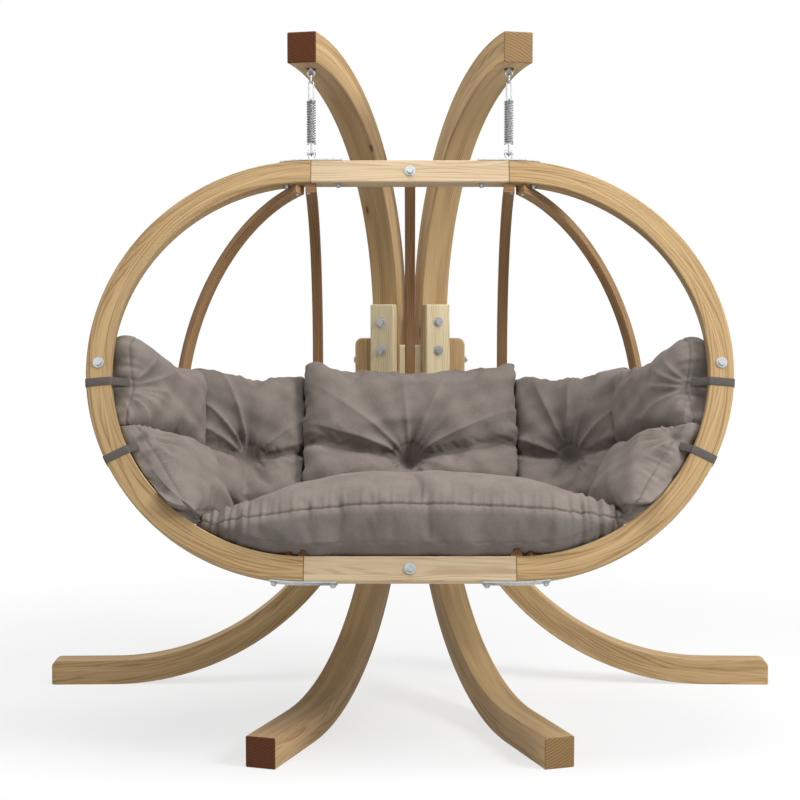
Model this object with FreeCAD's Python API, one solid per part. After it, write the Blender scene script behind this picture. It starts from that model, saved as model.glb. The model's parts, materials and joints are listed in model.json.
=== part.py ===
"""Double hanging egg chair: laminated ring and ribs, cushions, drawbar springs and a bowed wooden stand."""
import FreeCAD
import Part
import math
import os

V = FreeCAD.Vector

# Driving dimensions in millimetres and degrees; +Z up, +X right, front towards -Y

# Stand: two C-shaped posts, each a bowed upper and a bowed lower arc, and two side legs
hang_spacing = 548.0        # between the two hang points, along X
post_toe_out = 18.4         # each post's plane is turned out by this towards the front
post_depth = 84.0           # section of the post across its bow
post_width = 85.0           # section of the post along its bow's axis
post_back = 709.5           # hang point to the back face of the post
upper_radius = 836.0        # outer radius of the upper bow
lower_radius = 808.0        # outer radius of the lower bow
post_straight = 316.0       # straight stretch between the two bows
nose_reach = 71.0           # hang point to the end face of the upper arc
foot_reach = 380.0          # hang point to the end face of the front foot
post_joint_height = 984.0   # butt joint of upper and lower arc
leg_depth = 78.0            # side leg's section across its bow
leg_width = 75.0            # side leg's section along Y
leg_radius = 850.0          # outer radius of the side leg's bow
leg_reach = 1140.0          # middle of the stand to the end of a side foot
leg_top = 1100.0            # height of the side leg's top end
leg_turn = -1.7             # side foot is turned forward by this
leg_corner = 22.0           # rounded corners of the leg's two ends
edge_round = 4.0            # rounding of the wooden edges
splice_width = 77.0
splice_thickness = 38.0
splice_length = 448.0
spacer_length = 200.0
spacer_depth = 76.0
spacer_top = 1080.0
board_gap = 0.1             # between the spacer board and the posts

# Stand fasteners
bolt_diameter = 10.0
bolt_gap = 0.3              # radial clearance of a bolt in its hole
nut_flats = 17.0
nut_height = 8.0
head_height = 7.0
bolt_proud = 4.0            # bolt end past its nut
washer_diameter = 30.0
washer_thickness = 2.5
seat_sink = 5.0             # depth of a flat seat cut into a bowed face
seat_gap = 2.0              # radial room round a washer in its seat
splice_bolt_offsets = (-169.0, -80.0, 80.0, 169.0)
cross_bolt_offsets = (-48.0, 48.0)
spacer_screw_spread = 26.0
screw_diameter = 5.0
screw_head = 10.0
screw_length = 45.0
screw_head_height = 3.0

# Hangers, from the post's underside down to the chair's pins
eye_wire = 6.0
eye_radius = 9.0            # mean radius of the eye
eye_drop = 20.0             # post underside to the middle of the eye's lowest wire
eye_shank = 8.0
eye_collar = 14.0
eye_collar_height = 4.0
eye_washer_diameter = 26.0
eye_seat_rise = 7.0         # flat seat cut up into the underside
link_wire = 5.0
link_half_width = 7.0       # middle of the link to the middle of its side wire
link_gap = 0.5              # slack where one wire hangs in another
link_length = 24.0          # between the middles of the link's end wires
bar_wire = 4.0
bar_half_width = 6.5        # middle of the drawbar to the middle of its leg
bar_hook = 13.2             # reach of a drawbar's hook
bar_bend = 4.5              # bend radius of a hook
bar_neck = 53.0             # upper loop's top wire to the top of the coil
coil_length = 118.0
coil_wire = 4.2
coil_diameter = 26.0        # outside
coil_turns = 15             # open turns between the two closed end turns
coil_end_pitch = 4.9        # pitch of a closed end turn
coil_seat_gap = 0.3         # coil end to the hook that bears on it
bar_tail = 28.0             # bottom of the coil to the chair's pin

# Chair frame, in its own tilted frame: origin at the ring's middle, Y to the back, Z up
chair_tilt = 20.8           # bottom of the ring swings forward by this
ring_radius = 590.0         # outer radius of the ring's round ends
ring_section = 66.0         # radial
ring_depth = 38.0           # along Y
rib_width = 30.0
rib_thickness = 26.0
rib_setback = 10.0          # ring's front face to the rib's end
rib_screw_offset = 6.0      # seam to the screws of a back rib
side_rib_offset = 30.0      # seam to the middle of the side rib's end
side_rib_angle = 44.4       # side rib's plane, out from straight back
hoop_corner = 480.0         # bend radius of the hoop, on its middle line
hoop_height = 30.0
hoop_thickness = 26.0
plate_thickness = 4.0
plate_half_length = 87.0
bolt_from_seam = 76.0
plate_bolt = 8.0
plate_nut_flats = 13.0
plate_nut_height = 6.5
plate_head = 16.0
plate_head_height = 4.0
plate_washer = 20.0
plate_washer_thickness = 1.6
plate_seat = 1.0            # flat seats cut into the ring's inner face
ear_thickness = 3.0
ear_gap = 14.0              # between the two ears
ear_round = 10.0
pin_height = 24.0           # pin above the ring's outer face
pin_diameter = 6.0
pin_head = 11.0
pin_head_height = 2.5
pin_fit = 0.1
bush_diameter = 8.0
bush_side_gap = 0.3
frame_bolt_depth = 40.0     # frame bolt into the end of the centre rib or the hoop

# Cushions and their straps, in the chair's frame
seat_half_width = 562.0
seat_front = 44.0           # front roll in front of the ring's middle plane
seat_back = 350.0
seat_front_top = -292.0
seat_crown = -262.0
seat_heel = -352.0
seat_shoulder = 449.0       # where the seat starts to go under the lower side pads
seat_shoulder_height = -322.0
seat_shoulder_slope = 21.0
seat_gather = 28.0          # length over which each end is drawn in
pad_thickness = 150.0
pad_press = 4.0             # how far a pad is pressed on to the frame
pad_gap = 0.5               # half of the gap between neighbouring pads
pad_corner = 40.0
pad_crown = 62.0            # how far the outline shrinks from a pad's waist to its face
pad_draw_in = 14.0          # sides pulled in between the corners
back_pad_top = 112.0
back_pad_lean = 8.0
center_pad_width = 612.0
corner_pad_width = 350.0
corner_pad_angle = 18.0
side_pad_width = 390.0
side_pad_angle = 66.0
side_pad_split = -165.0
side_pad_top = 92.0
lower_pad_height = 300.0
lower_pad_width = 370.0
lower_pad_pitch = 35.0
lower_pad_out = 622.0
lower_pad_back = 150.0
lower_pad_height_at = -290.0
tuft_radius = 70.0
tuft_depth = 24.0
tuft_drop = 95.0            # middle of a back pad down to its tuft
strap_width = 22.0
strap_thickness = 2.0
strap_gap = 0.4
strap_tail = 60.0
strap_angles = (-5.5, -27.0)

# Derived values
hang_half = hang_spacing / 2
toe = math.radians(post_toe_out)
upper_center = V(upper_radius - post_back, 0, lower_radius + post_straight)
lower_center = V(lower_radius - post_back, 0, lower_radius)
underside = upper_center.z + math.sqrt((upper_radius - post_depth) ** 2 - upper_center.x ** 2)
post_face = post_depth - post_back
eye_bottom = underside - eye_drop
link_top = eye_bottom + (eye_wire + link_wire) / 2 + link_gap
link_bottom = link_top - link_length
bar_top = link_bottom + (link_wire + bar_wire) / 2 + link_gap
coil_top = bar_top - bar_neck
coil_bottom = coil_top - coil_length
pin_z = coil_bottom - bar_tail
ring_inner = ring_radius - ring_section
ring_middle = ring_radius - ring_section / 2
rib_outer = ring_inner
rib_inner = rib_outer - rib_thickness
half_depth = ring_depth / 2
pin_y = -pin_height * math.tan(math.radians(chair_tilt))
hoop_back = rib_outer
hoop_end_x = hang_half + ring_middle
hoop_center = V(hoop_end_x - hoop_corner, hoop_back - hoop_corner, 0)

nodes = {}


def put(name, *shapes):
    """Keep one node: a single solid, or a group of separate solids."""
    solids = [solid for shape in shapes for solid in shape.Solids]
    nodes[name] = solids[0] if len(solids) == 1 else Part.makeCompound(solids)


def box(x0, x1, y0, y1, z0, z1):
    """Block between two corners."""
    return Part.makeBox(x1 - x0, y1 - y0, z1 - z0, V(x0, y0, z0))


def moved(shape, at, axis=V(0, 0, 1)):
    """Copy of a shape made at the origin along +Z, set at a point along an axis."""
    copy = shape.copy()
    copy.Placement = FreeCAD.Placement(at, FreeCAD.Rotation(V(0, 0, 1), axis)).multiply(copy.Placement)
    return copy


def rod(at, axis, radius, length):
    """Round bar from a point along an axis."""
    return moved(Part.makeCylinder(radius, length), at, axis)


def hexagon(at, axis, flats, height):
    """Hexagonal prism from a point along an axis."""
    corner = flats / math.sqrt(3)
    points = [V(corner * math.cos(math.radians(60 * k)), corner * math.sin(math.radians(60 * k)), 0)
              for k in range(7)]
    return moved(Part.Face(Part.makePolygon(points)).extrude(V(0, 0, height)), at, axis)


def washer(at, axis, diameter, bore, thickness):
    """Flat washer from a point along an axis."""
    return rod(at, axis, diameter / 2, thickness).cut(rod(at, axis, bore / 2, thickness))


def nut(at, axis, flats, bore, height):
    """Hexagonal nut from a point along an axis."""
    return hexagon(at, axis, flats, height).cut(rod(at, axis, bore / 2, height))


def hex_bolt(at, axis, diameter, length, flats, height):
    """Bolt whose head's seat is at a point, with its shank along an axis."""
    return rod(at, axis, diameter / 2, length).fuse(hexagon(at, axis * -1, flats, height)).removeSplitter()


def dome_screw(at, axis, diameter, length, head, height):
    """Screw whose head's seat is at a point: a domed head and a shank along an axis."""
    radius = (head * head / 4 + height * height) / (2 * height)
    ball = Part.makeSphere(radius, V(0, 0, radius - height))
    dome = ball.common(Part.makeCylinder(head, height, V(0, 0, -height)))
    shank = Part.makeCylinder(diameter / 2, length)
    return moved(dome.fuse(shank).removeSplitter(), at, axis)


def line(a, b):
    """Straight edge."""
    return Part.LineSegment(a, b).toShape()


def bow(center, radius, start, end, to_point):
    """Arc edge about a centre between two angles in degrees; to_point maps plane values to space."""
    def at(angle):
        turn = math.radians(angle)
        return to_point(center[0] + radius * math.cos(turn), center[1] + radius * math.sin(turn))
    return Part.Arc(at(start), at((start + end) / 2), at(end)).toShape()


def in_xz(a, b):
    """Point of the XZ plane."""
    return V(a, 0, b)


def in_yz(a, b):
    """Point of the YZ plane."""
    return V(0, a, b)


def in_xy(a, b):
    """Point of the XY plane."""
    return V(a, b, 0)


def prism(edges, along):
    """Solid between a closed outline and its copy moved along a vector, centred on the outline."""
    face = Part.Face(Part.Wire(Part.__sortEdges__(edges)))
    face.translate(along * -0.5)
    return face.extrude(along)


def sector(center, inner, outer, start, end, to_point, along):
    """Part of a flat ring between two radii and two angles, given a thickness."""
    first = bow(center, inner, start, end, to_point)
    second = bow(center, outer, start, end, to_point)
    ends = [line(first.Vertexes[k].Point, second.Vertexes[k].Point) for k in (0, 1)]
    return prism([first, second] + ends, along)


def tube(edges, diameter):
    """Round wire along connected edges."""
    path = Part.Wire(edges)
    start = path.OrderedEdges[0]
    at = path.OrderedVertexes[0].Point
    tangent = start.tangentAt(start.FirstParameter)
    if (start.valueAt(start.FirstParameter) - at).Length > (start.valueAt(start.LastParameter) - at).Length:
        tangent = start.tangentAt(start.LastParameter) * -1
    profile = Part.Wire(Part.Circle(at, tangent, diameter / 2).toShape())
    return Part.Solid(path.makePipeShell([profile], True, False).Shells[0])


def mirrored(shape):
    """Copy on the other side of the YZ plane."""
    return shape.mirror(V(0, 0, 0), V(1, 0, 0))


def put_pair(name, right):
    """Keep a right piece and its mirrored left piece."""
    put(name + "_right", right)
    put(name + "_left", mirrored(right))


def both(shapes):
    """Shapes of the right side with their mirrored copies."""
    return list(shapes) + [mirrored(shape) for shape in shapes]


def cut_all(shape, tools):
    """Shape with every solid of every tool cut out."""
    for tool in tools:
        for solid in tool.Solids:
            if shape.BoundBox.intersect(solid.BoundBox):
                shape = shape.cut(solid)
    return shape


def eased(shape, shortest=0):
    """Shape with its edges rounded, those that are longer than a given length."""
    return shape.makeFillet(edge_round, [edge for edge in shape.Edges if edge.Length > shortest])


def to_post(shape):
    """Right post's place for a shape drawn with X forward from the hang point and Y across the post."""
    copy = shape.copy()
    copy.rotate(V(0, 0, 0), V(0, 0, 1), post_toe_out - 90)
    copy.translate(V(hang_half, 0, 0))
    return copy


def post_side_x(y, side):
    """X of the right post's outer (1) or inner (-1) side face at a Y."""
    across = side * post_width / 2
    forward = (across * math.sin(toe) - y) / math.cos(toe)
    return hang_half + across * math.cos(toe) + forward * math.sin(toe)


def upper_arc_blank():
    """Upper arc of a post in its own plane."""
    center = (upper_center.x, upper_center.z)
    inner_radius = upper_radius - post_depth
    reach = nose_reach - upper_center.x
    outer = bow(center, upper_radius, 180, math.degrees(math.acos(reach / upper_radius)), in_xz)
    inner = bow(center, inner_radius, 180, math.degrees(math.acos(reach / inner_radius)), in_xz)
    foot = [in_xz(-post_back, post_joint_height), in_xz(post_face, post_joint_height)]
    edges = [outer, inner, line(outer.Vertexes[1].Point, inner.Vertexes[1].Point),
             line(outer.Vertexes[0].Point, foot[0]), line(inner.Vertexes[0].Point, foot[1]), line(*foot)]
    return prism(edges, V(0, post_width, 0))


def lower_arc_blank():
    """Lower arc of a post in its own plane, with its flat foot."""
    center = (lower_center.x, lower_center.z)
    outer = bow(center, lower_radius, 180, 270, in_xz)
    inner = bow(center, lower_radius - post_depth, 180, 270, in_xz)
    head = [in_xz(-post_back, post_joint_height), in_xz(post_face, post_joint_height)]
    toe_end = [in_xz(foot_reach, 0), in_xz(foot_reach, post_depth)]
    edges = [outer, inner, line(outer.Vertexes[0].Point, head[0]), line(*head),
             line(head[1], inner.Vertexes[0].Point), line(outer.Vertexes[1].Point, toe_end[0]),
             line(*toe_end), line(toe_end[1], inner.Vertexes[1].Point)]
    return prism(edges, V(0, post_width, 0))


def side_leg_blank(inner_x, y):
    """Right side leg: upright against its post, bowed down to a flat foot, both ends rounded off."""
    center = (inner_x + leg_radius, leg_radius)
    outer = bow(center, leg_radius, 180, 270, in_xz)
    inner = bow(center, leg_radius - leg_depth, 180, 270, in_xz)
    top_round = bow((inner_x + leg_depth - leg_corner, leg_top - leg_corner), leg_corner, 0, 90, in_xz)
    end_round = bow((leg_reach - leg_corner, leg_depth - leg_corner), leg_corner, 0, 90, in_xz)
    edges = [outer, inner, top_round, end_round,
             line(outer.Vertexes[0].Point, in_xz(inner_x, leg_top)),
             line(in_xz(inner_x, leg_top), top_round.Vertexes[1].Point),
             line(top_round.Vertexes[0].Point, inner.Vertexes[0].Point),
             line(inner.Vertexes[1].Point, end_round.Vertexes[1].Point),
             line(end_round.Vertexes[0].Point, in_xz(leg_reach, 0)),
             line(in_xz(leg_reach, 0), outer.Vertexes[1].Point)]
    leg = prism(edges, V(0, leg_width, 0))
    leg.translate(V(0, y, 0))
    leg.rotate(V(inner_x, y, 0), V(0, 0, 1), leg_turn)
    return leg


def build_stand():
    """Posts, side legs, splice boards, spacer and the bolts that hold them."""
    bore = bolt_diameter / 2 + bolt_gap
    seat_radius = washer_diameter / 2 + seat_gap
    upper = upper_arc_blank()
    lower = lower_arc_blank()
    half_length = splice_length / 2
    board = box(post_face, post_face + splice_thickness, -splice_width / 2, splice_width / 2,
                post_joint_height - half_length, post_joint_height + half_length)
    board = cut_all(board, [upper, lower])
    bolts, washers, nuts, holes = [], [], [], []
    board_front = post_face + splice_thickness
    nut_seat = -post_back + seat_sink
    grip = board_front - nut_seat + 2 * washer_thickness
    for offset in splice_bolt_offsets:
        z = post_joint_height + offset
        head_at = V(board_front + washer_thickness, 0, z)
        bolts.append(hex_bolt(head_at, V(-1, 0, 0), bolt_diameter, grip + nut_height + bolt_proud,
                              nut_flats, head_height))
        washers.append(washer(head_at, V(-1, 0, 0), washer_diameter, 2 * bore, washer_thickness))
        washers.append(washer(V(nut_seat, 0, z), V(-1, 0, 0), washer_diameter, 2 * bore, washer_thickness))
        nut_at = V(nut_seat - washer_thickness, 0, z)
        nuts.append(nut(nut_at, V(-1, 0, 0), nut_flats, bolt_diameter, nut_height))
        holes.append(rod(head_at, V(-1, 0, 0), bore, grip + 2 * seat_sink))
        holes.append(rod(V(nut_seat, 0, z), V(-1, 0, 0), seat_radius, 2 * seat_sink))

    # Eye bolt's bore and its two flat seats, at the hang point
    top_seat = upper_center.z + math.sqrt(upper_radius ** 2 - upper_center.x ** 2) - seat_sink
    low_seat = underside + eye_seat_rise
    eye_bore = eye_shank / 2 + bolt_gap
    eye_seat = eye_washer_diameter / 2 + seat_gap
    holes.append(rod(V(0, 0, low_seat), V(0, 0, 1), eye_bore, post_depth))
    holes.append(rod(V(0, 0, low_seat), V(0, 0, -1), eye_seat, post_depth))
    holes.append(rod(V(0, 0, top_seat), V(0, 0, 1), eye_seat, post_depth))

    # Cross bolts along X through legs, posts and spacer
    mid_y = (post_back - post_depth / 2) * math.cos(toe)
    leg_inner = post_side_x(mid_y + leg_width / 2, 1)
    leg_face = leg_inner + leg_depth - seat_sink
    cross_holes = []
    cross_bolts = []
    cross_washers = []
    cross_nuts = []
    for offset in cross_bolt_offsets:
        z = post_joint_height + offset
        span = 2 * (leg_face + washer_thickness)
        head_at = V(-leg_face - washer_thickness, mid_y, z)
        cross_bolts.append(hex_bolt(head_at, V(1, 0, 0), bolt_diameter, span + nut_height + bolt_proud,
                                    nut_flats, head_height))
        cross_washers.append(washer(head_at, V(1, 0, 0), washer_diameter, 2 * bore, washer_thickness))
        cross_washers.append(washer(V(leg_face, mid_y, z), V(1, 0, 0), washer_diameter, 2 * bore,
                                    washer_thickness))
        cross_nuts.append(nut(V(leg_face + washer_thickness, mid_y, z), V(1, 0, 0), nut_flats,
                              bolt_diameter, nut_height))
        cross_holes.append(rod(head_at, V(1, 0, 0), bore, span))
        for side in (-1, 1):
            cross_holes.append(rod(V(side * leg_face, mid_y, z), V(side, 0, 0), seat_radius, leg_depth))

    put_pair("upper_arc", cut_all(to_post(cut_all(eased(upper), holes)), cross_holes))
    put_pair("lower_arc", cut_all(to_post(cut_all(eased(lower), holes)), cross_holes))
    put_pair("splice_board", to_post(cut_all(eased(board), holes)))

    # Side legs are cut to the slanted side face of their posts
    beside_post = to_post(box(-2 * post_back, post_back, -2 * post_back, post_width / 2, 0, 2 * leg_top))
    leg = eased(side_leg_blank(leg_inner, mid_y)).cut(beside_post)
    put_pair("side_leg", cut_all(leg, cross_holes))

    # Wedge-shaped spacer between the two posts, with two screws in its front
    front_y = -post_face * math.cos(toe) - post_width / 2 * math.sin(toe)
    slack = board_gap / math.cos(toe)
    half_front = post_side_x(front_y, -1) - slack
    half_back = post_side_x(front_y + spacer_depth, -1) - slack
    outline = [V(-half_front, front_y, 0), V(half_front, front_y, 0), V(half_back, front_y + spacer_depth, 0),
               V(-half_back, front_y + spacer_depth, 0), V(-half_front, front_y, 0)]
    spacer = Part.Face(Part.makePolygon(outline)).extrude(V(0, 0, spacer_length))
    spacer.translate(V(0, 0, spacer_top - spacer_length))
    screws = [dome_screw(V(side * spacer_screw_spread / 2, front_y, spacer_top - spacer_screw_spread / 2),
                         V(0, 1, 0), screw_diameter, screw_length, screw_head, screw_head_height)
              for side in (-1, 1)]
    put("spacer_board", cut_all(eased(spacer), cross_holes + screws))
    put("spacer_screws", *screws)
    put("splice_bolts", *both([to_post(shape) for shape in bolts]))
    put("cross_bolts", *cross_bolts)
    put("stand_washers", *both([to_post(shape) for shape in washers]), *cross_washers)
    put("stand_nuts", *both([to_post(shape) for shape in nuts]), *cross_nuts)

    # Eye bolts with their washers and nuts
    at = V(hang_half, 0, 0)
    eye = Part.makeTorus(eye_radius, eye_wire / 2, V(0, 0, eye_bottom + eye_radius), V(0, 1, 0))
    collar_top = low_seat - washer_thickness
    nut_top = top_seat + washer_thickness + nut_height
    shank_foot = collar_top - eye_collar_height
    eye = eye.fuse(rod(V(0, 0, shank_foot), V(0, 0, 1), eye_shank / 2, nut_top + bolt_proud - shank_foot))
    eye = eye.fuse(rod(V(0, 0, shank_foot), V(0, 0, 1), eye_collar / 2, eye_collar_height))
    neck = eye_bottom + 2 * eye_radius
    eye = eye.fuse(rod(V(0, 0, neck), V(0, 0, 1), eye_wire / 2, shank_foot - neck + eye_collar_height))
    put_pair("eye_bolt", moved(eye.removeSplitter(), at))
    eye_washers = [washer(at + V(0, 0, z), V(0, 0, 1), eye_washer_diameter, 2 * eye_bore, washer_thickness)
                   for z in (collar_top, top_seat)]
    put("eye_washers", *both(eye_washers))
    put("eye_nuts", *both([nut(at + V(0, 0, top_seat + washer_thickness), V(0, 0, 1), plate_nut_flats,
                               eye_shank, nut_height)]))


def oval_link():
    """Hanger link in the YZ plane, its end wires on the Z axis."""
    round_top = link_top - link_half_width
    round_low = link_bottom + link_half_width
    edges = []
    side = link_half_width
    middle = (round_top + round_low) / 2
    edges.append(line(in_yz(side, middle), in_yz(side, round_top)))
    edges.append(bow((0, round_top), side, 0, 90, in_yz))
    edges.append(bow((0, round_top), side, 90, 180, in_yz))
    edges.append(line(in_yz(-side, round_top), in_yz(-side, round_low)))
    edges.append(bow((0, round_low), side, 180, 270, in_yz))
    edges.append(bow((0, round_low), side, 270, 360, in_yz))
    edges.append(line(in_yz(side, round_low), in_yz(side, middle)))
    return tube(edges, link_wire)


def drawbar(loop_z, hook_z, to_point):
    """Drawbar: a loop round a wire at one end and two outward hooks that bear on the coil at the other."""
    up = 1 if loop_z > hook_z else -1
    side = bar_half_width
    bend = bar_bend
    edges = [line(to_point(-bar_hook, hook_z), to_point(-side - bend, hook_z)),
             bow((-side - bend, hook_z + up * bend), bend, -90 * up, 0, to_point),
             line(to_point(-side, hook_z + up * bend), to_point(-side, loop_z)),
             bow((0, loop_z), side, 180, 180 - 90 * up, to_point),
             bow((0, loop_z), side, 90 * up, 0, to_point),
             line(to_point(side, loop_z), to_point(side, hook_z + up * bend)),
             bow((side + bend, hook_z + up * bend), bend, 180, 180 + 90 * up, to_point),
             line(to_point(side + bend, hook_z), to_point(bar_hook, hook_z))]
    return tube(edges, bar_wire)


def biarc(start, start_way, end, end_way):
    """Two arcs that leave one point and reach another along given directions."""
    gap = end - start
    ways = start_way + end_way
    a = 2 * (1 - start_way.dot(end_way))
    b = 2 * gap.dot(ways)
    reach = (-b + math.sqrt(b * b + 4 * a * gap.dot(gap))) / (2 * a)
    corners = (start + start_way * reach, end - end_way * reach)
    middle = (corners[0] + corners[1]) * 0.5
    arcs = []
    for first, corner, last in ((start, corners[0], middle), (middle, corners[1], end)):
        chord = (first + last) * 0.5
        rise = corner - chord
        half = (last - first).Length / 2
        sagitta = half * math.tan(math.atan2(rise.Length, half) / 2)
        arcs.append(Part.Arc(first, chord + rise * (sagitta / rise.Length), last).toShape())
    return arcs


def spring_coil():
    """Compression coil of round wire with a closed turn at each end, one unbroken tube on biarcs."""
    radius = (coil_diameter - coil_wire) / 2
    turns = coil_turns + 2
    rise = coil_length - coil_wire
    open_pitch = (rise - 2 * coil_end_pitch) / coil_turns

    def height(turn):
        if turn < 1:
            return turn * coil_end_pitch
        if turn > turns - 1:
            return rise - (turns - turn) * coil_end_pitch
        return coil_end_pitch + (turn - 1) * open_pitch

    def point(turn):
        angle = 2 * math.pi * turn
        z = coil_bottom + coil_wire / 2 + height(turn)
        return V(radius * math.cos(angle), radius * math.sin(angle), z)

    def way(turn):
        step = 1e-4
        return (point(min(turn + step, turns)) - point(max(turn - step, 0))).normalize()

    edges = []
    for half_turn in range(2 * turns):
        a, b = half_turn / 2, (half_turn + 1) / 2
        edges += biarc(point(a), way(a), point(b), way(b))
    path = [edge.valueAt(edge.FirstParameter + (edge.LastParameter - edge.FirstParameter) * k / 6)
            for edge in edges for k in range(6)]
    apart = 12      # points along the wire that count as its own neighbours
    least = min((path[i] - path[j]).Length for i in range(len(path)) for j in range(i + apart, len(path)))
    print("coil gap to itself", round(least - coil_wire, 2))
    coil = tube(edges, coil_wire)
    wire_length = sum(edge.Length for edge in edges)
    print("coil volume ratio", round(coil.Volume / (wire_length * math.pi * coil_wire ** 2 / 4), 4))
    return coil


def build_hangers():
    """Link, drawbar spring and bush of each hanger, top to bottom on the hang point's vertical line."""
    at = V(hang_half, 0, 0)
    upper = drawbar(bar_top - bar_half_width, coil_bottom - coil_seat_gap - bar_wire / 2, in_xz)
    lower = drawbar(pin_z, coil_top + coil_seat_gap + bar_wire / 2, in_yz)
    bush_length = ear_gap - 2 * bush_side_gap
    bush = rod(V(-bush_length / 2, 0, pin_z), V(1, 0, 0), bush_diameter / 2, bush_length)
    bush = bush.cut(rod(V(-bush_length / 2, 0, pin_z), V(1, 0, 0), pin_diameter / 2 + pin_fit, bush_length))
    coil = spring_coil()
    for name, shape in (("hanger_link", oval_link()), ("upper_drawbar", upper), ("lower_drawbar", lower),
                        ("pin_bush", bush), ("spring_coil", coil)):
        for side, word in ((1, "right"), (-1, "left")):
            put(name + "_" + word, moved(shape, at * side))


def rib(inner, outer, lead):
    """Half-round rib in the YZ plane with a straight lead at both ends."""
    arc = sector((0, 0), inner, outer, -90, 90, in_yz, V(rib_width, 0, 0))
    for side in (-1, 1):
        if lead > 0:
            low, high = sorted((side * inner, side * outer))
            arc = arc.fuse(box(-rib_width / 2, rib_width / 2, -lead, 0, low, high))
    return arc.removeSplitter()


def center_rib():
    """Middle rib, from the back of the top beam round to the back of the bottom beam."""
    back_line = rib_outer - rib_thickness / 2
    run = back_line - half_depth
    radius = (run ** 2 + ring_middle ** 2) / (2 * run)
    center = (back_line - radius, 0)
    arc = sector(center, radius - rib_thickness / 2, radius + rib_thickness / 2, -90, 90, in_yz,
                 V(rib_width, 0, 0))
    return arc.cut(box(-rib_width, rib_width, -ring_radius, half_depth, -2 * ring_radius, 2 * ring_radius))


def hoop():
    """Level hoop round the back, butted on the back of the ring at both sides."""
    edges = []
    ends = []
    for offset in (-hoop_thickness / 2, hoop_thickness / 2):
        radius = hoop_corner + offset
        right = bow((hoop_center.x, hoop_center.y), radius, 0, 90, in_xy)
        left = bow((-hoop_center.x, hoop_center.y), radius, 90, 180, in_xy)
        feet = [in_xy(hoop_center.x + radius, half_depth), in_xy(-hoop_center.x - radius, half_depth)]
        ends.append(feet)
        edges += [right, left, line(right.Vertexes[1].Point, left.Vertexes[0].Point),
                  line(feet[0], right.Vertexes[0].Point), line(left.Vertexes[1].Point, feet[1])]
    edges += [line(ends[0][k], ends[1][k]) for k in (0, 1)]
    return prism(edges, V(0, 0, hoop_height))


def seam_plate():
    """Steel plate over a seam of the ring, flat on the beam and curved on the ring's round end."""
    outer = ring_radius + plate_thickness
    sweep = math.degrees(plate_half_length / ring_radius)
    flat = box(hang_half - plate_half_length, hang_half, -half_depth, half_depth, ring_radius, outer)
    curved = sector((hang_half, 0), ring_radius, outer, 90 - sweep, 90, in_xz, V(0, ring_depth, 0))
    return flat.fuse(curved).removeSplitter()


def with_ears(plate):
    """Hang plate: a seam plate with two upright ears for the pin."""
    base = ring_radius + plate_thickness / 2
    top = ring_radius + pin_height
    outline = [in_yz(-half_depth, base), in_yz(half_depth, base), in_yz(pin_y + ear_round, top),
               in_yz(pin_y - ear_round, top), in_yz(-half_depth, base)]
    for side in (-1, 1):
        start = ear_gap / 2 if side > 0 else -ear_gap / 2 - ear_thickness
        ear = Part.Face(Part.makePolygon(outline)).extrude(V(ear_thickness, 0, 0))
        ear = ear.fuse(rod(V(0, pin_y, top), V(1, 0, 0), ear_round, ear_thickness))
        ear.translate(V(hang_half + start, 0, 0))
        plate = plate.fuse(ear)
    bore_length = ear_gap + 4 * ear_thickness
    bore_start = V(hang_half - bore_length / 2, pin_y, top)
    bore = rod(bore_start, V(1, 0, 0), pin_diameter / 2 + pin_fit, bore_length)
    return plate.removeSplitter().cut(bore)


def hang_pin():
    """Riveted pin through the ears and the bush."""
    z = ring_radius + pin_height
    reach = ear_gap / 2 + ear_thickness + pin_fit
    pin = rod(V(hang_half - reach, pin_y, z), V(1, 0, 0), pin_diameter / 2, 2 * reach)
    for side in (-1, 1):
        end = V(hang_half + side * reach, pin_y, z)
        pin = pin.fuse(rod(end, V(side, 0, 0), pin_head / 2, pin_head_height))
    return pin.removeSplitter()


def at_seam_sides(shape):
    """Copies of a shape drawn on the seam's upright line: one on the beam, one square to the round end."""
    on_beam = shape.copy()
    on_beam.translate(V(hang_half - bolt_from_seam, 0, 0))
    on_ring = shape.copy()
    on_ring.rotate(V(0, 0, 0), V(0, 1, 0), math.degrees(bolt_from_seam / ring_radius))
    on_ring.translate(V(hang_half, 0, 0))
    return [on_beam, on_ring]


def plate_fasteners(heads_out):
    """Bolt, washer, nut and seated bore through plate and ring, at both sides of a seam."""
    outside = ring_radius + plate_thickness
    inside = ring_inner + plate_seat
    stack = plate_nut_height + bolt_proud / 2
    bore = plate_bolt / 2 + bolt_gap
    if heads_out:
        bolt = dome_screw(V(0, 0, outside), V(0, 0, -1), plate_bolt,
                          outside - inside + plate_washer_thickness + stack, plate_head, plate_head_height)
        ring = washer(V(0, 0, inside), V(0, 0, -1), plate_washer, 2 * bore, plate_washer_thickness)
        lock = nut(V(0, 0, inside - plate_washer_thickness), V(0, 0, -1), plate_nut_flats, plate_bolt,
                   plate_nut_height)
    else:
        bolt = dome_screw(V(0, 0, inside), V(0, 0, 1), plate_bolt,
                          outside - inside + plate_washer_thickness + stack, plate_head, plate_head_height)
        ring = washer(V(0, 0, outside), V(0, 0, 1), plate_washer, 2 * bore, plate_washer_thickness)
        lock = nut(V(0, 0, outside + plate_washer_thickness), V(0, 0, 1), plate_nut_flats, plate_bolt,
                   plate_nut_height)
    seat_radius = (plate_washer if heads_out else plate_head) / 2 + seat_gap
    hole = rod(V(0, 0, inside - plate_thickness), V(0, 0, 1), bore, outside - inside + 2 * plate_thickness)
    hole = hole.fuse(rod(V(0, 0, inside), V(0, 0, -1), seat_radius, 2 * plate_seat))
    return [at_seam_sides(shape) for shape in (bolt, ring, lock, hole)]


def flipped(shape):
    """Copy turned over, top to bottom."""
    return shape.mirror(V(0, 0, 0), V(0, 0, 1))


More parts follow.
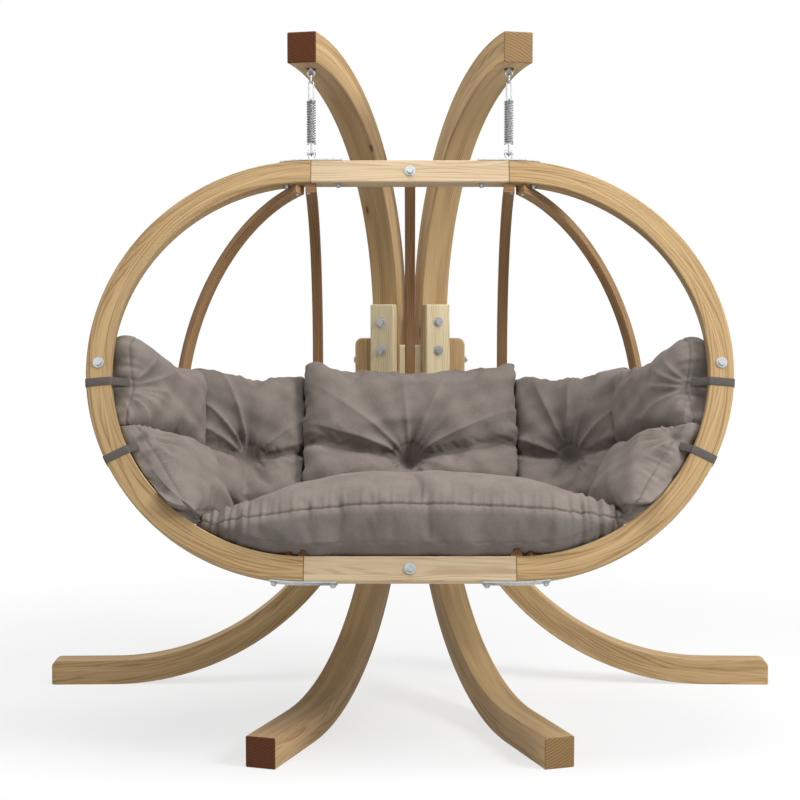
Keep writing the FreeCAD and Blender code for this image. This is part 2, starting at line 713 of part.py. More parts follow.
def frame_bolt(x, z):
    """Front bolt, its washer and its hole, through the ring into the wood behind."""
    at = V(x, -half_depth - washer_thickness, z)
    bolt = hex_bolt(at, V(0, 1, 0), bolt_diameter, washer_thickness + ring_depth + frame_bolt_depth,
                    nut_flats, head_height)
    ring = washer(at, V(0, 1, 0), washer_diameter, bolt_diameter + 2 * bolt_gap, washer_thickness)
    hole = rod(at, V(0, 1, 0), bolt_diameter / 2, washer_thickness + ring_depth + frame_bolt_depth)
    return bolt, ring, hole


def build_frame():
    """Ring, beams, plates, pins, ribs and hoop; returns the solids that the cushions lie on."""
    top_right = plate_fasteners(True)
    low_right = [[flipped(shape) for shape in group] for group in plate_fasteners(False)]
    bolts, washers, nuts, holes = [both(top_right[k] + low_right[k]) for k in range(4)]
    front = [frame_bolt(x, z) for x, z in ((0, ring_middle), (0, -ring_middle), (hoop_end_x, 0),
                                           (-hoop_end_x, 0))]
    front_holes = [item[2] for item in front]

    # Rib screws: one in each end of each back and side rib, driven outwards into the ring
    side_outer = math.sqrt(ring_inner ** 2 - side_rib_offset ** 2)
    side_inner = side_outer - rib_thickness
    screw_at = half_depth / 2
    screws = []
    for side in (-1, 1):
        back_seat = V(hang_half + rib_screw_offset, 0, side * rib_inner)
        screws.append(dome_screw(back_seat, V(0, 0, side), screw_diameter, screw_length, screw_head,
                                 screw_head_height))
        turn = math.radians(side_rib_angle)
        side_seat = V(hang_half + side_rib_offset + screw_at * math.sin(turn), screw_at * math.cos(turn),
                      side * math.sqrt(side_inner ** 2 - screw_at ** 2))
        screws.append(dome_screw(side_seat, V(0, 0, side), screw_diameter, screw_length, screw_head,
                                 screw_head_height))
    screws = both(screws)
    drilled = holes + front_holes + screws

    beam = box(-hang_half, hang_half, -half_depth, half_depth, ring_inner, ring_radius)
    put("top_beam", cut_all(eased(beam, ring_section), drilled))
    put("bottom_beam", cut_all(eased(flipped(beam), ring_section), drilled))
    ring = sector((hang_half, 0), ring_inner, ring_radius, -90, 90, in_xz, V(0, ring_depth, 0))
    round_ring = eased(ring, ring_section)
    for word, shape in (("right", round_ring), ("left", mirrored(round_ring))):
        put("ring_arc_" + word, cut_all(shape, drilled))

    belt = hoop()
    back = rib(rib_inner, rib_outer, half_depth - rib_setback)
    back.translate(V(hang_half, 0, 0))
    side = rib(side_inner, side_outer, 0)
    side.rotate(V(0, 0, 0), V(0, 0, 1), -side_rib_angle)
    side.translate(V(hang_half + side_rib_offset, 0, 0))
    for name, shape in (("rib_back", eased(back, rib_width)), ("rib_side", eased(side, rib_width))):
        put(name + "_right", cut_all(shape, [ring, belt] + screws))
        put(name + "_left", cut_all(mirrored(shape), [mirrored(ring), belt] + screws))
    middle = center_rib()
    put("rib_center", cut_all(eased(middle, rib_width), [belt] + front_holes))
    put("equator_hoop", cut_all(eased(belt, hoop_height), front_holes))
    put("rib_screws", *screws)

    plate = seam_plate()
    put_pair("hang_plate", cut_all(with_ears(plate), holes))
    put_pair("bottom_plate", cut_all(flipped(plate), holes))
    put_pair("hang_pin", hang_pin())
    put("plate_bolts", *bolts)
    put("plate_washers", *washers)
    put("plate_nuts", *nuts)
    put("frame_bolts", *[item[0] for item in front])
    put("frame_washers", *[item[1] for item in front])
    return both([ring, back, side]) + [beam, flipped(beam), middle, belt] + screws + bolts + washers + nuts


def cushion_outline(half_width, half_height, share, y):
    """Outline of one level of a pad: rounded corners, sides drawn in between them."""
    corner = pad_corner * share
    draw = pad_draw_in * share
    inner_w = half_width - corner
    inner_h = half_height - corner
    tip = corner * math.sqrt(0.5)

    def at(x, z):
        return V(x, y, z)
    edges = []
    for sx, sz in ((1, 1), (1, -1), (-1, -1), (-1, 1)):
        start, end = at(sx * inner_w, sz * half_height), at(sx * half_width, sz * inner_h)
        middle = at(sx * (inner_w + tip), sz * (inner_h + tip))
        if sx == sz:
            edges.append(Part.Arc(start, middle, end).toShape())
            drawn, far = at(sx * (half_width - draw), 0), at(sx * half_width, -sz * inner_h)
            edges.append(Part.Arc(end, drawn, far).toShape())
        else:
            edges.append(Part.Arc(end, middle, start).toShape())
            drawn, far = at(0, sz * (half_height - draw)), at(-sx * inner_w, sz * half_height)
            edges.append(Part.Arc(start, drawn, far).toShape())
    return Part.Wire(edges)


def pad(width, height, tuft):
    """Pad at the origin: width along X, height along Z, crowned along Y, tufted at the front or not."""
    levels = (-1.0, -0.8, -0.35, 0.35, 0.8, 1.0)
    wires = []
    for level in levels:
        inset = pad_crown * (1 - math.sqrt(1 - level * level))
        share = 1 - inset / (2 * pad_crown)
        wires.append(cushion_outline(width / 2 - inset, height / 2 - inset, share, level * pad_thickness / 2))
    body = Part.makeLoft(wires, True, False)
    if tuft:
        at = V(0, -pad_thickness / 2 - tuft_radius + tuft_depth, -tuft_drop)
        body = body.cut(Part.makeSphere(tuft_radius, at))
    return body


def placed(shape, at, yaw, pitch):
    """Shape turned so that its back faces outwards by yaw and down by pitch, then set at a point."""
    shape.rotate(V(0, 0, 0), V(1, 0, 0), -pitch)
    shape.rotate(V(0, 0, 0), V(0, 0, 1), -yaw)
    shape.translate(at)
    return shape


def keep(shape, at, way):
    """Part of a shape on the side of a plane that a direction points to."""
    size = 4 * ring_radius
    return shape.cut(moved(Part.makeBox(2 * size, 2 * size, size, V(-size, -size, -size)), at, way))


def biggest(shape):
    """Largest solid of a shape."""
    return max(shape.Solids, key=lambda solid: solid.Volume)


def seat_section(x, rise, share):
    """Outline of the seat cushion across its length at one station, standing in the bottom of the globe."""
    run = max(0.0, abs(x) - hang_half)
    floor = -math.sqrt(ring_inner ** 2 - run ** 2)
    mid_y = (seat_back - seat_front) / 2

    def at(y, z):
        return V(x, mid_y + (y - mid_y) * share, floor + (z + ring_inner) * rise)
    toe_at, brow = at(0, -ring_inner), at(seat_front / 2, seat_front_top)
    nape, heel = at(seat_back - seat_front / 2, seat_front_top), at(seat_back - seat_front / 2, seat_heel)
    slope = math.sqrt(rib_inner ** 2 - (seat_back / 2) ** 2)
    return Part.Wire([Part.Arc(toe_at, at(-seat_front, (seat_front_top - ring_inner) / 2), brow).toShape(),
                      Part.Arc(brow, at(seat_back / 2, seat_crown), nape).toShape(),
                      Part.Arc(nape, at(seat_back, (seat_front_top + seat_heel) / 2), heel).toShape(),
                      Part.Arc(heel, at(seat_back / 2, -slope), toe_at).toShape()])


def seat_cushion():
    """Seat with a front roll, lying in the bottom of the globe, drooping and drawn in at both ends."""
    gathered = seat_half_width - seat_gather
    stations = ((seat_half_width, 0.22, 0.6), (gathered, 0.40, 0.8), (hang_half + seat_back / 2, 0.70, 0.96),
                (hang_half + seat_back / 4, 0.88, 1.0), (hang_half, 0.97, 1.0))
    wires = [seat_section(-x, rise, share) for x, rise, share in stations] + [seat_section(0, 1.0, 1.0)]
    wires += [seat_section(x, rise, share) for x, rise, share in reversed(stations)]
    return Part.makeLoft(wires, True, False)


def build_cushions(frame):
    """Seat, three back pads and four side pads, each kept to its own cell and pressed on to the frame."""
    reach = hoop_corner - hoop_thickness / 2 + pad_press - pad_thickness / 2
    back_mid = (back_pad_top + seat_crown) / 2
    back_height = back_pad_top - seat_crown + 2 * pad_press
    back_floor = seat_crown + pad_gap

    def on_hoop(yaw, z):
        turn = math.radians(yaw)
        return V(hoop_center.x + reach * math.sin(turn), hoop_center.y + reach * math.cos(turn), z)

    # Planes between neighbouring pads
    center_edge = center_pad_width / 2
    split_turn = math.radians((corner_pad_angle + side_pad_angle) / 2)
    outwards = V(math.cos(split_turn), -math.sin(split_turn), 0)
    shoulder = V(seat_shoulder, 0, seat_shoulder_height)
    shoulder_turn = math.radians(seat_shoulder_slope)
    above_seat = V(math.sin(shoulder_turn), 0, math.cos(shoulder_turn))

    center_y = math.sqrt(rib_inner ** 2 - back_mid ** 2) + pad_press - pad_thickness / 2
    center = placed(pad(center_pad_width, back_height, True), V(0, center_y, back_mid), 0, back_pad_lean)
    center = keep(center, V(0, 0, back_floor), V(0, 0, 1))
    center = keep(center, V(center_edge - pad_gap, 0, 0), V(-1, 0, 0))
    center = keep(center, V(pad_gap - center_edge, 0, 0), V(1, 0, 0))
    put("back_cushion_center", biggest(cut_all(center, frame)))

    corner = placed(pad(corner_pad_width, back_height, True), on_hoop(corner_pad_angle, back_mid),
                    corner_pad_angle, back_pad_lean)
    corner = keep(corner, V(0, 0, back_floor), V(0, 0, 1))
    corner = keep(corner, V(center_edge + pad_gap, 0, 0), V(1, 0, 0))
    corner = keep(corner, hoop_center - outwards * pad_gap, outwards * -1)

    upper_mid = (side_pad_top + side_pad_split) / 2
    upper_height = side_pad_top - side_pad_split + 2 * pad_press
    upper = placed(pad(side_pad_width, upper_height, False), on_hoop(side_pad_angle, upper_mid),
                   side_pad_angle, 0)
    upper = keep(upper, hoop_center + outwards * pad_gap, outwards)
    upper = keep(upper, V(0, 0, side_pad_split + pad_gap), V(0, 0, 1))

    lower_at = V(lower_pad_out, lower_pad_back, lower_pad_height_at)
    lower = placed(pad(lower_pad_width, lower_pad_height, False), lower_at, side_pad_angle, lower_pad_pitch)
    lower = keep(lower, hoop_center + outwards * pad_gap, outwards)
    lower = keep(lower, V(0, 0, side_pad_split - pad_gap), V(0, 0, -1))
    lower = keep(lower, shoulder + above_seat * pad_gap, above_seat)
    for name, shape in (("back_cushion", corner), ("side_cushion_upper", upper),
                        ("side_cushion_lower", lower)):
        put(name + "_right", biggest(cut_all(shape, frame)))
        put(name + "_left", biggest(cut_all(mirrored(shape), frame)))

    seat = seat_cushion()
    for side in (-1, 1):
        way = V(side * above_seat.x, 0, above_seat.z)
        seat = keep(seat, V(side * shoulder.x, 0, shoulder.z) - way * pad_gap, way * -1)
    put("seat_cushion", biggest(cut_all(seat, frame)))


def build_straps():
    """Webbing straps from the side pads round the ring."""
    inner = ring_inner - strap_gap
    outer = ring_radius + strap_gap
    y = half_depth + strap_gap
    half = strap_width / 2
    band = box(inner - strap_thickness, outer + strap_thickness, -y - strap_thickness, y + strap_thickness,
               -half, half).cut(box(inner, outer, -y, y, -half, half))
    band = band.fuse(box(inner - strap_tail, inner, y, y + strap_thickness, -half, half)).removeSplitter()
    pads = [nodes[name] for name in nodes if name.startswith("side_cushion")]
    straps = []
    for angle in strap_angles:
        strap = band.copy()
        strap.rotate(V(0, 0, 0), V(0, 1, 0), -angle)
        strap.translate(V(hang_half, 0, 0))
        straps.append(strap)
    put("ring_straps", *[biggest(cut_all(strap, pads)) for strap in both(straps)])


def build():
    """Build every node in place, stand the part on Z = 0 with its middle over the origin, and write it."""
    build_cushions(build_frame())
    build_straps()
    tilt = math.radians(chair_tilt)
    pin_local = V(0, pin_y, ring_radius + pin_height)
    drop = pin_z - pin_local.z * math.cos(tilt) + pin_local.y * math.sin(tilt)
    shift = -pin_local.y * math.cos(tilt) - pin_local.z * math.sin(tilt)
    for shape in nodes.values():
        shape.rotate(V(0, 0, 0), V(1, 0, 0), -chair_tilt)
        shape.translate(V(0, shift, drop))
    build_stand()
    build_hangers()
    boxes = [nodes[name].optimalBoundingBox() for name in ("lower_arc_right", "splice_bolts", "bottom_beam",
                                                           "bottom_plate_right", "plate_bolts", "frame_bolts")]
    to_middle = -(min(b.YMin for b in boxes) + max(b.YMax for b in boxes)) / 2
    os.makedirs("parts", exist_ok=True)
    for name, shape in nodes.items():
        shape.translate(V(0, to_middle, 0))
        shape.exportStep("parts/" + name + ".step")
    print("hang line y %.3f, eye %.3f, link %.3f, pin %.3f, coil %.3f to %.3f, ring middle y %.3f z %.3f"
          % (to_middle, eye_bottom, link_bottom, pin_z, coil_bottom, coil_top, to_middle + shift, drop))


build()
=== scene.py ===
"""Looks of the double hanging egg chair: wood, steel, cushions, webbing, camera and studio."""

import json
import logging
import math
from dataclasses import dataclass
from enum import Enum
from typing import Optional, Sequence, Union

import bpy
import numpy as np
from mathutils import Matrix, Vector


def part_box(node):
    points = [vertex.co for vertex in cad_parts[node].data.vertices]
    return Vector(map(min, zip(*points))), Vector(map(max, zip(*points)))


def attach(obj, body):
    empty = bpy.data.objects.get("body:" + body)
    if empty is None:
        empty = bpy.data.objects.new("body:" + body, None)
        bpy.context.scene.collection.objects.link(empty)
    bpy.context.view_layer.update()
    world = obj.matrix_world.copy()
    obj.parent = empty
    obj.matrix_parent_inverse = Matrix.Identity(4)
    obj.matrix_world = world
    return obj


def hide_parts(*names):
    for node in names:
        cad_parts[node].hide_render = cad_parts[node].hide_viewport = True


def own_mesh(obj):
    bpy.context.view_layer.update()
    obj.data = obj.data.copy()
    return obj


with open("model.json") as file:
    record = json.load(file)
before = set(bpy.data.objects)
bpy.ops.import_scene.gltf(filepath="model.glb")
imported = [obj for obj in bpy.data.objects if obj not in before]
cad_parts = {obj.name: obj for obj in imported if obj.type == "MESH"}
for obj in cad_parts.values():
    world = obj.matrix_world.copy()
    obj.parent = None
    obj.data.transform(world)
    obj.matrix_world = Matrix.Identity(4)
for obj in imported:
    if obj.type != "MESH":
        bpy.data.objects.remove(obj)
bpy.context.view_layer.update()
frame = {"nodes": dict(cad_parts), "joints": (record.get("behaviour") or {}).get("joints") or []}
log = logging.getLogger("egg_chair")

Colour = tuple[float, float, float]
Number = Union[int, float]
Value = Union["Sock", Number]
Link = bpy.types.NodeSocket

HANG_HALF = 0.274
SMOOTH_BELOW = math.radians(40.0)


# Shader tools

class Sock:
    """One number in a shader; arithmetic on it adds Math nodes."""

    def __init__(self, nodes: "Nodes", socket: Link) -> None:
        """Wrap an output socket of a node tree."""
        self.nodes = nodes
        self.socket = socket

    def math(self, operation: str, *others: Value) -> "Sock":
        """Result of a Math node on this value and the others."""
        values = dict(enumerate((self,) + others))
        return self.nodes.sock(self.nodes.node("ShaderNodeMath", {"operation": operation}, values))

    def __add__(self, other: Value) -> "Sock":
        """Sum."""
        return self.math("ADD", other)

    def __sub__(self, other: Value) -> "Sock":
        """Difference."""
        return self.math("SUBTRACT", other)

    def __mul__(self, other: Value) -> "Sock":
        """Product."""
        return self.math("MULTIPLY", other)

    def __truediv__(self, other: Value) -> "Sock":
        """Quotient."""
        return self.math("DIVIDE", other)

    def __rsub__(self, other: Number) -> "Sock":
        """A number less this value."""
        node = self.nodes.node("ShaderNodeMath", {"operation": "SUBTRACT"}, {0: other, 1: self})
        return self.nodes.sock(node)

    __radd__ = __add__
    __rmul__ = __mul__

    def rise(self, low: float, high: float) -> "Sock":
        """Smooth step.

        Args:
            low: Value at which the step starts, at 0.
            high: Value at which it ends, at 1.

        Returns:
            The step between 0 and 1.
        """
        settings = {"interpolation_type": "SMOOTHSTEP"}
        values = {"Value": self, "From Min": low, "From Max": high}
        return self.nodes.sock(self.nodes.node("ShaderNodeMapRange", settings, values))


class Nodes:
    """A node tree while it is written."""

    def __init__(self, tree: bpy.types.NodeTree) -> None:
        """Start with an empty tree."""
        self.tree = tree
        self.tree.nodes.clear()

    def node(self, kind: str, settings: Optional[dict] = None,
             values: Optional[dict] = None) -> bpy.types.Node:
        """Add a node.

        Args:
            kind: Type of the node.
            settings: Its settings, set before its sockets.
            values: Numbers, colours or links for its inputs, by name or by index.

        Returns:
            The new node.
        """
        made = self.tree.nodes.new(kind)
        for key, value in (settings or {}).items():
            setattr(made, key, value)
        for key, value in (values or {}).items():
            self.feed(made.inputs[key], value)
        return made

    def feed(self, socket: Link, value: object) -> None:
        """Give a socket a link or a value."""
        if isinstance(value, Sock):
            value = value.socket
        if isinstance(value, Link):
            self.tree.links.new(value, socket)
        elif socket.type == "RGBA" and len(value) == 3:
            socket.default_value = (*value, 1.0)
        else:
            socket.default_value = value

    def sock(self, node: bpy.types.Node, output: Union[int, str] = 0) -> Sock:
        """Output of a node as a number."""
        return Sock(self, node.outputs[output])

    def seen(self) -> Sock:
        """1 for what the camera sees straight or through metal and glass, 0 for light."""
        rays = self.node("ShaderNodeLightPath")
        seen = self.sock(rays, "Is Camera Ray").math("MAXIMUM", self.sock(rays, "Is Glossy Ray"))
        return seen.math("MAXIMUM", self.sock(rays, "Is Transmission Ray"))


class Recipe(Nodes):
    """A node material while it is written."""

    def __init__(self, name: str) -> None:
        """Start a material with one Principled shader."""
        self.material = bpy.data.materials.new(name)
        self.material.use_nodes = True
        super().__init__(self.material.node_tree)
        self.shader = self.node("ShaderNodeBsdfPrincipled")
        self.out = self.node("ShaderNodeOutputMaterial", None, {"Surface": self.shader.outputs[0]})

    def attribute(self, name: str) -> Sock:
        """A number that the mesh keeps at each of its points."""
        return self.sock(self.node("ShaderNodeAttribute", {"attribute_name": name}), "Fac")

    def point(self, at: Sequence[float] = (0, 0, 0), turn: Sequence[float] = (0, 0, 0)) -> Link:
        """Object coordinates seen from another place.

        Args:
            at: Origin of the new coordinates.
            turn: Their turn, as Euler angles.

        Returns:
            The vector's socket.
        """
        place = self.node("ShaderNodeTexCoord").outputs["Object"]
        values = {"Vector": place, "Location": at, "Rotation": turn}
        return self.node("ShaderNodeMapping", {"vector_type": "TEXTURE"}, values).outputs[0]

    def split(self, vector: Link) -> list[Sock]:
        """The three numbers of a vector."""
        node = self.node("ShaderNodeSeparateXYZ", None, {0: vector})
        return [self.sock(node, axis) for axis in range(3)]

    def join(self, x: Value, y: Value, z: Value) -> Link:
        """A vector from three numbers."""
        return self.node("ShaderNodeCombineXYZ", None, {0: x, 1: y, 2: z}).outputs[0]

    def scaled(self, vector: Link, by: Sequence[float], shift: Sequence[float]) -> Link:
        """A vector times one vector plus another."""
        values = {0: vector, 1: by, 2: shift}
        return self.node("ShaderNodeVectorMath", {"operation": "MULTIPLY_ADD"}, values).outputs[0]

    def cloud(self, vector: Link, scale: float, detail: float = 3.0) -> Sock:
        """Noise around 0.5."""
        values = {"Vector": vector, "Scale": scale, "Detail": detail}
        return self.sock(self.node("ShaderNodeTexNoise", None, values), 0)

    def mix(self, share: Union[Sock, float], first: object, second: object, way: str = "MIX") -> Link:
        """Blend of two colours or links, with so much of the second."""
        settings = {"data_type": "RGBA", "blend_type": way}
        return self.node("ShaderNodeMix", settings, {0: share, 6: first, 7: second}).outputs[2]

    def relief(self, height: Sock, depth: float, strength: float) -> Link:
        """Bumped normal from a height, its depth in metres and the bump's share."""
        values = {"Height": height, "Distance": depth, "Strength": strength}
        return self.node("ShaderNodeBump", None, values).outputs[0]

    def dress(self, **values: object) -> bpy.types.Material:
        """Feed the Principled shader.

        Args:
            values: Numbers, colours or links by socket, with underscores for spaces.

        Returns:
            The material.
        """
        for name, value in values.items():
            self.feed(self.shader.inputs[name.replace("_", " ")], value)
        return self.material


# Wood

class Run(Enum):
    """How the grain of a wooden piece runs."""

    STRAIGHT = "along one axis"
    BOW = "round a quarter circle and straight on from both its ends"
    ROUND = "round a circle"


@dataclass(frozen=True)
class Grain:
    """Place and run of a piece's grain: which local axes lie along, across and through the lamellas."""

    run: Run
    at: tuple[float, float, float]
    turn: tuple[float, float, float] = (0.0, 0.0, 0.0)
    axes: tuple[int, int, int] = (0, 2, 1)
    center: tuple[float, float] = (0.0, 0.0)
    signs: tuple[int, int] = (-1, -1)
    radius: float = 0.8
    fold: bool = False
    end: Optional[float] = None
    butt: Optional[float] = None

    def coordinates(self, recipe: Recipe) -> tuple[Sock, Sock, Sock, Sock]:
        """Write the grain's coordinates into a recipe.

        Args:
            recipe: The material being written.

        Returns:
            Length along the grain, place across the lamellas, place through their width, and the raw
            first axis.
        """
        local = recipe.split(recipe.point(self.at, self.turn))
        if self.fold:
            local[0] = local[0].math("ABSOLUTE")
        p, q, through = [local[axis] for axis in self.axes]
        if self.run is Run.STRAIGHT:
            return p, q, through, p
        a, b = p - self.center[0], q - self.center[1]
        if self.run is Run.ROUND:
            across = (a * a + b * b).math("SQRT")
            return b.math("ARCTAN2", a) * self.radius, across, through, p
        a, b = a * self.signs[0], b * self.signs[1]
        near_a, near_b = a.math("MAXIMUM", 0.0), b.math("MAXIMUM", 0.0)
        across = (near_a * near_a + near_b * near_b).math("SQRT")
        along = near_b.math("ARCTAN2", near_a) * self.radius
        along = along + b.math("MINIMUM", 0.0) - a.math("MINIMUM", 0.0)
        return along, across, through, p


@dataclass(frozen=True)
class Wood:
    """Oiled laminated spruce: pale early wood, darker late wood, knots and thin glue lines."""

    light: Colour
    dark: Colour
    knot: Colour = (0.10, 0.045, 0.018)
    end_tint: Colour = (0.225, 0.135, 0.056)
    lamella: float = 0.0165
    rings: float = 165.0
    knots: float = 0.055
    pith: tuple[float, float] = (0.55, -0.11)
    end_rings: float = 130.0
    end_skin: tuple[float, float] = (0.0035, 0.0015)
    butt_line: tuple[float, float] = (0.0007, 0.0020)
    grain_depth: float = 0.0003

    def sawn(self, r: Recipe, across: Sock, through: Sock, broad: Sock, fibre: Sock) -> Link:
        """Colour of a sawn end.

        Args:
            r: The material being written.
            across: Place across the lamellas.
            through: Place through their width.
            broad: Slow noise.
            fibre: Fine noise.

        Returns:
            The colour, with growth rings round a pith beside the section.
        """
        a, b = across - self.pith[0], through - self.pith[1]
        far = (a * a + b * b).math("SQRT")
        year = ((far * self.end_rings + broad * 0.9) * math.tau).math("SINE").rise(-0.7, 1.0)
        shade = 0.72 + year * 0.42 + fibre * 0.22
        return r.mix(1.0, self.end_tint, r.join(shade, shade, shade), "MULTIPLY")

    def material(self, name: str, grain: Grain, seed: float) -> bpy.types.Material:
        """Write the wood for one piece.

        Args:
            name: Name of the material.
            grain: Run of the grain in the piece.
            seed: Shift that makes each piece's figure its own.

        Returns:
            The material.
        """
        r = Recipe(name)
        along, across, through, raw = grain.coordinates(r)
        layer = (across / self.lamella).math("FLOOR")
        tone = r.sock(r.node("ShaderNodeTexWhiteNoise", {"noise_dimensions": "1D"}, {"W": layer + seed}))
        place = r.join(along + tone * 1.7, across, through)
        drift = r.cloud(r.scaled(place, (1.3, 9.0, 9.0), (seed, 0, 0)), 1.0, 2.0)
        broad = r.cloud(r.scaled(place, (2.6, 46.0, 46.0), (seed, 3, 1)), 1.0, 4.0)
        fibre = r.cloud(r.scaled(place, (14.0, 620.0, 620.0), (seed, 7, 2)), 1.0, 2.0)
        phase = (across * 0.55 + through) * self.rings + drift * 13.0 + tone * 5.0
        late = (phase * math.tau).math("SINE").rise(-0.2, 1.0)
        late = late * broad.rise(0.3, 0.62)

        cells = r.scaled(place, (4.2, 15.0, 15.0), (seed * 1.7, 0.4, 0.7))
        knot_cell = r.node("ShaderNodeTexVoronoi", None, {"Vector": cells, "Scale": 1.0, "Randomness": 1.0})
        chance = r.split(knot_cell.outputs["Color"])[0].rise(0.80, 0.86)
        spread = r.sock(knot_cell, "Distance") + (broad - 0.5) * 0.10
        knot = (1.0 - spread.rise(self.knots, self.knots + 0.05)) * chance
        halo = (1.0 - spread.rise(self.knots, self.knots + 0.20)) * chance
        glue = ((across / self.lamella).math("FRACT") - 0.5).math("ABSOLUTE").rise(0.470, 0.494)

        colour = r.mix(late * 0.62 + fibre * 0.16, self.light, self.dark)
        colour = r.mix(broad.rise(0.42, 0.75) * 0.40, colour, self.dark)
        tint = tone * 0.22 + 0.86
        colour = r.mix(1.0, colour, r.join(tint, tint * 0.99, tint * 0.97), "MULTIPLY")
        colour = r.mix(glue * 0.42, colour, self.dark)
        colour = r.mix(halo * 0.42, colour, self.dark)
        colour = r.mix(knot * 0.85, colour, self.knot)
        if grain.end is not None:
            cut = raw.rise(grain.end - self.end_skin[0], grain.end - self.end_skin[1])
            colour = r.mix(cut, colour, self.sawn(r, across, through, broad, fibre))
        if grain.butt is not None:
            line = 1.0 - (raw.math("ABSOLUTE") - grain.butt).math("ABSOLUTE").rise(*self.butt_line)
            colour = r.mix(line * 0.85, colour, self.knot)
        height = fibre * 0.7 + late * 0.5 - glue * 0.8 - knot * 0.6
        gloss = fibre * 0.14 + 0.46 + late * 0.06 + broad * 0.08
        return r.dress(Base_Color=colour, Roughness=gloss, Specular_IOR_Level=0.22,
                       Normal=r.relief(height, self.grain_depth, 0.45))


# Steel

@dataclass(frozen=True)
class Steel:
    """Zinc-plated steel: faint spangle, fine scratches and dull patches."""

    bright: Colour
    dull: Colour
    rough: float = 0.30
    scratch: tuple[float, float, float] = (60.0, 60.0, 900.0)
    scratch_depth: float = 0.00012

    def material(self, name: str, seed: float) -> bpy.types.Material:
        """Write the steel.

        Args:
            name: Name of the material.
            seed: Shift of its patches.

        Returns:
            The material.
        """
        r = Recipe(name)
        place = r.point((seed, 0, 0))
        patch = r.cloud(place, 90.0, 4.0)
        fine = r.cloud(r.scaled(place, self.scratch, (0, 0, seed)), 1.0, 3.0)
        grains = r.node("ShaderNodeTexVoronoi", None, {"Vector": place, "Scale": 420.0})
        spangle = r.split(grains.outputs["Color"])[0]
        share = patch.rise(0.35, 0.7) * 0.55 + spangle * 0.25
        colour = r.mix(share, self.bright, self.dull)
        gloss = patch * 0.22 + spangle * 0.10 + fine * 0.08 + (self.rough - 0.18)
        normal = r.relief(fine * 0.5 + spangle * 0.3, self.scratch_depth, 0.5)
        return r.dress(Base_Color=colour, Metallic=0.92, Roughness=gloss, Normal=normal)


# Cloth

@dataclass(frozen=True)
class Cloth:
    """Plain-woven cushion cloth with a soft nap; an attribute paints shade into seam grooves and deep
    folds.
    """

    light: Colour
    dark: Colour
    # Colour of the painted shade in folds, creases and seam grooves.
    painted_fold_shade: Colour = (0.035, 0.029, 0.025)
    thread: float = 0.0011
    weave_depth: float = 0.0004

    def weave(self, u: Sock, v: Sock) -> Sock:
        """Over-and-under height of two sets of threads."""
        turns = math.pi / self.thread
        first, second = (u * turns).math("SINE"), (v * turns).math("SINE")
        return (first * second).math("ABSOLUTE")

    def material(self, name: str, at: Sequence[float], turn: Sequence[float]) -> bpy.types.Material:
        """Write the cloth.

        Args:
            name: Name of the material.
            at: Middle of the pad.
            turn: Turn of the pad, so that the threads run with its sides.

        Returns:
            The material.
        """
        r = Recipe(name)
        place = r.point(at, turn)
        x, y, z = r.split(place)
        facing = r.node("ShaderNodeVectorMath", {"operation": "ABSOLUTE"},
                        {0: r.node("ShaderNodeTexCoord").outputs["Normal"]}).outputs[0]
        nx, ny, nz = r.split(facing)
        front = self.weave(x, z) * ny + self.weave(y, z) * nx + self.weave(x, y) * nz
        slub = r.cloud(r.scaled(place, (90.0, 900.0, 900.0), (0, 0, 0)), 1.0, 2.0)
        cross = r.cloud(r.scaled(place, (900.0, 900.0, 90.0), (4, 0, 0)), 1.0, 2.0)
        nap = r.cloud(place, 16.0, 5.0)
        worn = r.cloud(place, 5.0, 3.0)
        fold = r.attribute("fold")
        heather = slub * 0.5 + cross * 0.5
        share = heather.rise(0.30, 0.72) * 0.40 + nap.rise(0.30, 0.75) * 0.34 + worn * 0.18
        colour = r.mix(share, self.light, self.dark)
        # Painted shade: the fold attribute darkens the cloth towards a near-black brown in pits, fold
        # hollows, creases and seam grooves.
        colour = r.mix(fold.rise(0.0, 1.0) * 0.62, colour, self.painted_fold_shade)
        height = front * 0.6 + heather * 0.5
        gloss = 0.95 - nap * 0.12
        normal = r.relief(height, self.weave_depth, 0.6)
        return r.dress(Base_Color=colour, Roughness=gloss, Normal=normal, Sheen_Weight=0.30,
                       Sheen_Roughness=0.5, Sheen_Tint=self.light)


@dataclass(frozen=True)
class Webbing:
    """Flat woven strap: ribs across its width, threads along it, a little fuzz."""

    light: Colour = (0.115, 0.098, 0.086)
    dark: Colour = (0.050, 0.042, 0.037)
    rib: float = 0.0017
    warp: float = 0.0022
    depth: float = 0.0006

    def material(self, name: str) -> bpy.types.Material:
        """Write the webbing on the strap's own lengthwise and crosswise attributes.

        Args:
            name: Name of the material.

        Returns:
            The material.
        """
        r = Recipe(name)
        rib = (r.attribute("along") * (math.pi / self.rib)).math("SINE").math("ABSOLUTE")
        warp = (r.attribute("across") * (math.pi / self.warp)).math("SINE").math("ABSOLUTE")
        fuzz = r.cloud(r.point(), 700.0, 3.0)
        colour = r.mix(rib * 0.35 + warp * 0.25 + fuzz * 0.35, self.dark, self.light)
        normal = r.relief(rib * 0.6 + warp * 0.5, self.depth, 0.8)
        return r.dress(Base_Color=colour, Roughness=0.80 + fuzz * 0.12, Normal=normal)


# Chair's own frame

